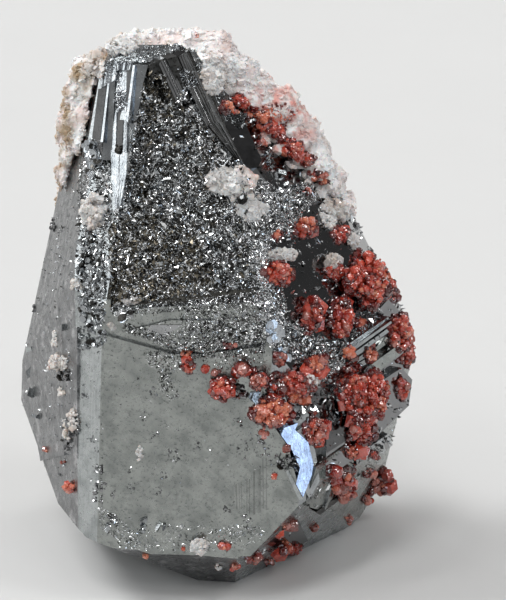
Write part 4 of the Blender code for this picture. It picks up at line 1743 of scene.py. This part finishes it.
COOL_FACE = (24.0, 12.0)
BRIGHT_SPOTS = DruseField("bright_spots", (
    Zone(((267, 322), (278, 326), (277, 344), (269, 340)), 16, 0.33, 0.1, PLATES, BRIGHT, face=COOL_FACE),
    Zone(((276, 344), (284, 344), (290, 360), (282, 360)), 12, 0.26, 0.1, PLATES, BRIGHT, face=COOL_FACE),
    Zone(((252, 393), (263, 394), (262, 400), (253, 398)), 8, 0.28, 0.1, PLATES, BRIGHT, face=COOL_FACE),
    Zone(((246, 238), (264, 238), (276, 300), (284, 345), (270, 345), (262, 300)), 760, 0.15, 0.3,
         face=COOL_FACE),
), black=0.0)

# A row of garnets holds the column, row, half width, half height, number, radius, mound, colour and azimuth

UPPER_GARNETS = GarnetField("andradite_upper", each(Cluster, (
    (305, 228, 12, 9, 110, 0.24, 0.5, ORANGE), (277, 236, 5, 5, 20, 0.22, 0.3, ORANGE),
    (278, 274, 15, 11, 170, 0.24, 0.6), (341, 234, 10, 8, 90), (368, 279, 22, 27, 620, 0.26, 1.3),
    (335, 272, 10, 9, 100), (392, 294, 6, 7, 40, 0.24, 0.4, BROWN), (232, 107, 12, 8, 100, 0.2, 0.3, ORANGE),
    (252, 112, 8, 6, 50, 0.18, 0.2, ORANGE), (263, 118, 8, 7, 70, 0.2, 0.3, ORANGE),
    (277, 131, 9, 7, 90, 0.2, 0.3), (293, 148, 9, 8, 110, 0.22, 0.3), (308, 160, 7, 7, 70, 0.22, 0.3, BROWN),
    (263, 143, 5, 4, 16, 0.2, 0.2, BROWN), (237, 99, 7, 6, 50, 0.2, 0.3), (284, 143, 8, 7, 70, 0.22, 0.3),
    (300, 158, 8, 6, 60, 0.22, 0.3), (314, 174, 5, 5, 26, 0.2, 0.3, ORANGE),
    (275, 115, 22, 12, 60, 0.14, 0.1, ORANGE), (323, 180, 6, 9, 40, 0.24, 0.3, BROWN),
    (306, 192, 4, 4, 10, 0.22, 0.2, BROWN), (196, 36, 3, 3, 8, 0.15, 0.05, ORANGE),
)))

MIDDLE_GARNETS = GarnetField("andradite_middle", each(Cluster, (
    (310, 315, 11, 17, 190, 0.25, 0.7), (341, 317, 12, 19, 220, 0.25, 0.7),
    (361, 324, 6, 5, 24, 0.24, 0.3, ORANGE), (400, 333, 12, 19, 260, 0.26, 0.8),
    (370, 353, 6, 8, 50, 0.24, 0.4, ORANGE), (350, 352, 6, 7, 40, 0.24, 0.4, ORANGE),
    (352, 369, 8, 6, 40, 0.24, 0.4), (278, 359, 6, 6, 26, 0.24, 0.3, BROWN),
    (316, 363, 11, 8, 90, 0.24, 0.5, ORANGE), (244, 371, 9, 5, 12, 0.34, 0.2, BROWN),
    (221, 389, 12, 10, 90, 0.28, 0.8), (189, 367, 6, 6, 14, 0.3, 0.3, ORANGE),
    (186, 354, 4, 4, 8, 0.26, 0.2, ORANGE), (206, 368, 2, 2, 2, 0.24, 0.1),
    (217, 372, 3, 3, 5, 0.28, 0.2, BROWN), (230, 345, 7, 3, 12, 0.2, 0.1, BROWN),
    (258, 382, 8, 8, 60, 0.25, 0.5, BROWN), (290, 384, 22, 11, 260, 0.26, 0.7),
    (298, 395, 12, 8, 100, 0.26, 0.6, ORANGE), (271, 412, 21, 14, 260, 0.26, 0.7, ORANGE),
    (314, 430, 11, 13, 150, 0.25, 0.6, BROWN),
)))

LOWER_GARNETS = GarnetField("andradite_lower", each(Cluster, (
    (366, 396, 28, 23, 680, 0.26, 1.2), (352, 386, 14, 12, 110, 0.26, 0.6, BROWN),
    (360, 432, 14, 13, 170, 0.24, 0.6), (352, 452, 6, 7, 40, 0.22, 0.4, ORANGE), (401, 388, 5, 12, 70, 0.26),
    (373, 455, 5, 4, 14, 0.24, 0.3), (369, 473, 6, 5, 14, 0.28, 0.3, BROWN), (335, 473, 6, 6, 5, 0.62, 0.3),
    (347, 474, 7, 7, 12, 0.4, 0.4, ORANGE), (335, 488, 6, 5, 6, 0.5, 0.3, ORANGE),
    (348, 493, 7, 7, 14, 0.4, 0.4, BROWN), (387, 474, 8, 8, 14, 0.5), (378, 486, 10, 9, 24, 0.42, 0.5, BROWN),
    (368, 499, 6, 4, 10, 0.36, 0.3, BROWN), (284, 546, 7, 6, 10, 0.42, 0.3, ORANGE),
    (296, 549, 9, 6, 30, 0.32, 0.4), (254, 557, 8, 7, 16, 0.36, 0.3, BROWN),
    (270, 563, 6, 4, 12, 0.3, 0.2, BROWN), (287, 525, 5, 4, 5, 0.42, 0.2, ORANGE),
    (315, 526, 3, 3, 3, 0.32, 0.1, BROWN), (347, 520, 3, 3, 4, 0.3, 0.1, BROWN),
    (235, 566, 5, 3, 8, 0.26, 0.1), (296, 465, 2, 2, 2, 0.34, 0.2), (275, 475.5, 2, 2, 2, 0.34, 0.1, ORANGE),
    (286, 450, 2, 2, 2, 0.26, 0.1, BROWN), (264, 433, 3, 5, 5, 0.3, 0.1, BROWN),
    (226, 546, 3, 3, 4, 0.32, 0.2, ORANGE), (185, 549, 2, 2, 2, 0.24, 0.1),
    (146, 556, 2, 2, 2, 0.24, 0.1, ORANGE), (46, 449, 2, 3, 3, 0.2, 0.1, BROWN),
    (64, 462, 2, 2, 3, 0.2, 0.1, BROWN), (70, 487, 4, 4, 8, 0.28, 0.3, ORANGE),
)))

BACK_GARNETS = GarnetField("andradite_back", each(Cluster, (
    (259, 230, 20, 17, 210, 0.27, 0.6, RED, 180.0), (200, 472, 20, 18, 210, 0.27, 0.6, RED, 176.0),
    (320, 470, 18, 16, 190, 0.27, 0.6, RED, 185.0), (214, 360, 16, 20, 180, 0.26, 0.6, ORANGE, 115.0),
    (300, 420, 22, 17, 210, 0.26, 0.6, RED, 80.0), (240, 480, 16, 12, 100, 0.25, 0.4, BROWN, 100.0),
    (200, 400, 12, 14, 80, 0.24, 0.4, RED, -110.0),
)))

COATED = ("back_high", "back_low", "side_back", "band_top", "band_upper", "band_lower")

# A row of calcite holds the column, row, half width, half height, number, radius, mound and azimuth

CALCITE = CalcitePatches(each(GrainPatch, (
    (224, 181, 17, 13, 380), (252, 208, 15, 12, 280), (94, 211, 12, 17, 300), (77, 286, 5, 6, 40, 0.16),
    (60, 362, 8, 10, 110, 0.15), (73, 419, 5, 9, 60, 0.15), (62, 391, 3, 5, 26, 0.13, 0.1),
    (55, 340, 3, 8, 30, 0.12, 0.1), (69, 433, 4, 6, 26, 0.14), (328, 214, 8, 15, 240), (341, 215, 7, 8, 100),
    (333, 261, 9, 6, 110, 0.16), (353, 242, 5, 8, 60, 0.16), (280, 255, 12, 6, 140, 0.15),
    (139, 452, 3, 8, 26, 0.12, 0.1), (131, 301, 9, 3, 50, 0.12, 0.1), (113, 324, 4, 6, 26, 0.12, 0.1),
    (199, 546, 8, 7, 90, 0.16), (312, 380, 7, 4, 50, 0.16), (219, 565, 3, 3, 6, 0.14),
    (214, 76, 12, 18, 500, 0.18, 0.5), (118, 46, 20, 7, 400, 0.18, 0.4), (229, 88, 4, 7, 70, 0.24, 0.1),
    (268, 138, 6, 5, 50, 0.22, 0.1), (281, 150, 6, 6, 60, 0.22, 0.1), (294, 163, 6, 6, 60, 0.24, 0.1),
    (308, 177, 6, 6, 60, 0.24, 0.1), (322, 190, 6, 6, 60, 0.24, 0.1), (96, 68, 8, 12, 240, 0.18, 0.4),
    (300, 300, 30, 24, 300, 0.2, 0.4, 150.0), (200, 380, 16, 20, 200, 0.2, 0.3, 200.0),
)))


def main() -> None:
    """Builds every piece in order and reports it."""
    logging.basicConfig(level=logging.INFO, format="%(name)s %(message)s")
    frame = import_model()
    nodes = frame["nodes"]
    chance = np.random.default_rng(SEED)
    for finish in (*Hematite, *Garnet, *Calcite):
        MATERIALS[finish] = finish.value.material()
    SIGHT.make_camera()
    Studio().build()

    crystal = HematiteCrystal().build(nodes["hematite_crystal"])
    hematite = Ground([crystal])
    crust_maker = CalciteCrust()
    crust = crust_maker.build(nodes["calcite_matrix"], hematite)
    crust_maker.build_grains(crust, hematite, chance)
    patches = CALCITE.build_packed(named(nodes, "calcite_patch"))
    garnets = named(nodes, "andradite")
    for node in garnets.values():
        for material_slot in node.material_slots:
            material_slot.material = MATERIALS[RED]

    steps = [table.build(hematite, chance) for table in STEPS]
    dark_ground = Ground([crystal, *steps])
    for field in (FRONT_DRUSE, BAND_DRUSE, EDGE_DRUSE, FACE_SPECKS, DARK_PITS, SIDE_DRUSE, BRIGHT_SPOTS):
        field.build(dark_ground, chance)
    ground = Ground([crystal, crust, patches, *steps, *garnets.values()])
    for field in (PATCH_SPECKS, CALCITE, UPPER_GARNETS, MIDDLE_GARNETS, LOWER_GARNETS, BACK_GARNETS):
        field.build(ground, chance)
    GarnetCoat().build([garnets["andradite_" + name] for name in COATED], hematite, chance)


def named(nodes: dict[str, bpy.types.Object], start: str) -> dict[str, bpy.types.Object]:
    """The nodes whose names start so."""
    return {name: node for name, node in nodes.items() if name.startswith(start)}


if __name__ == "__main__":
    main()
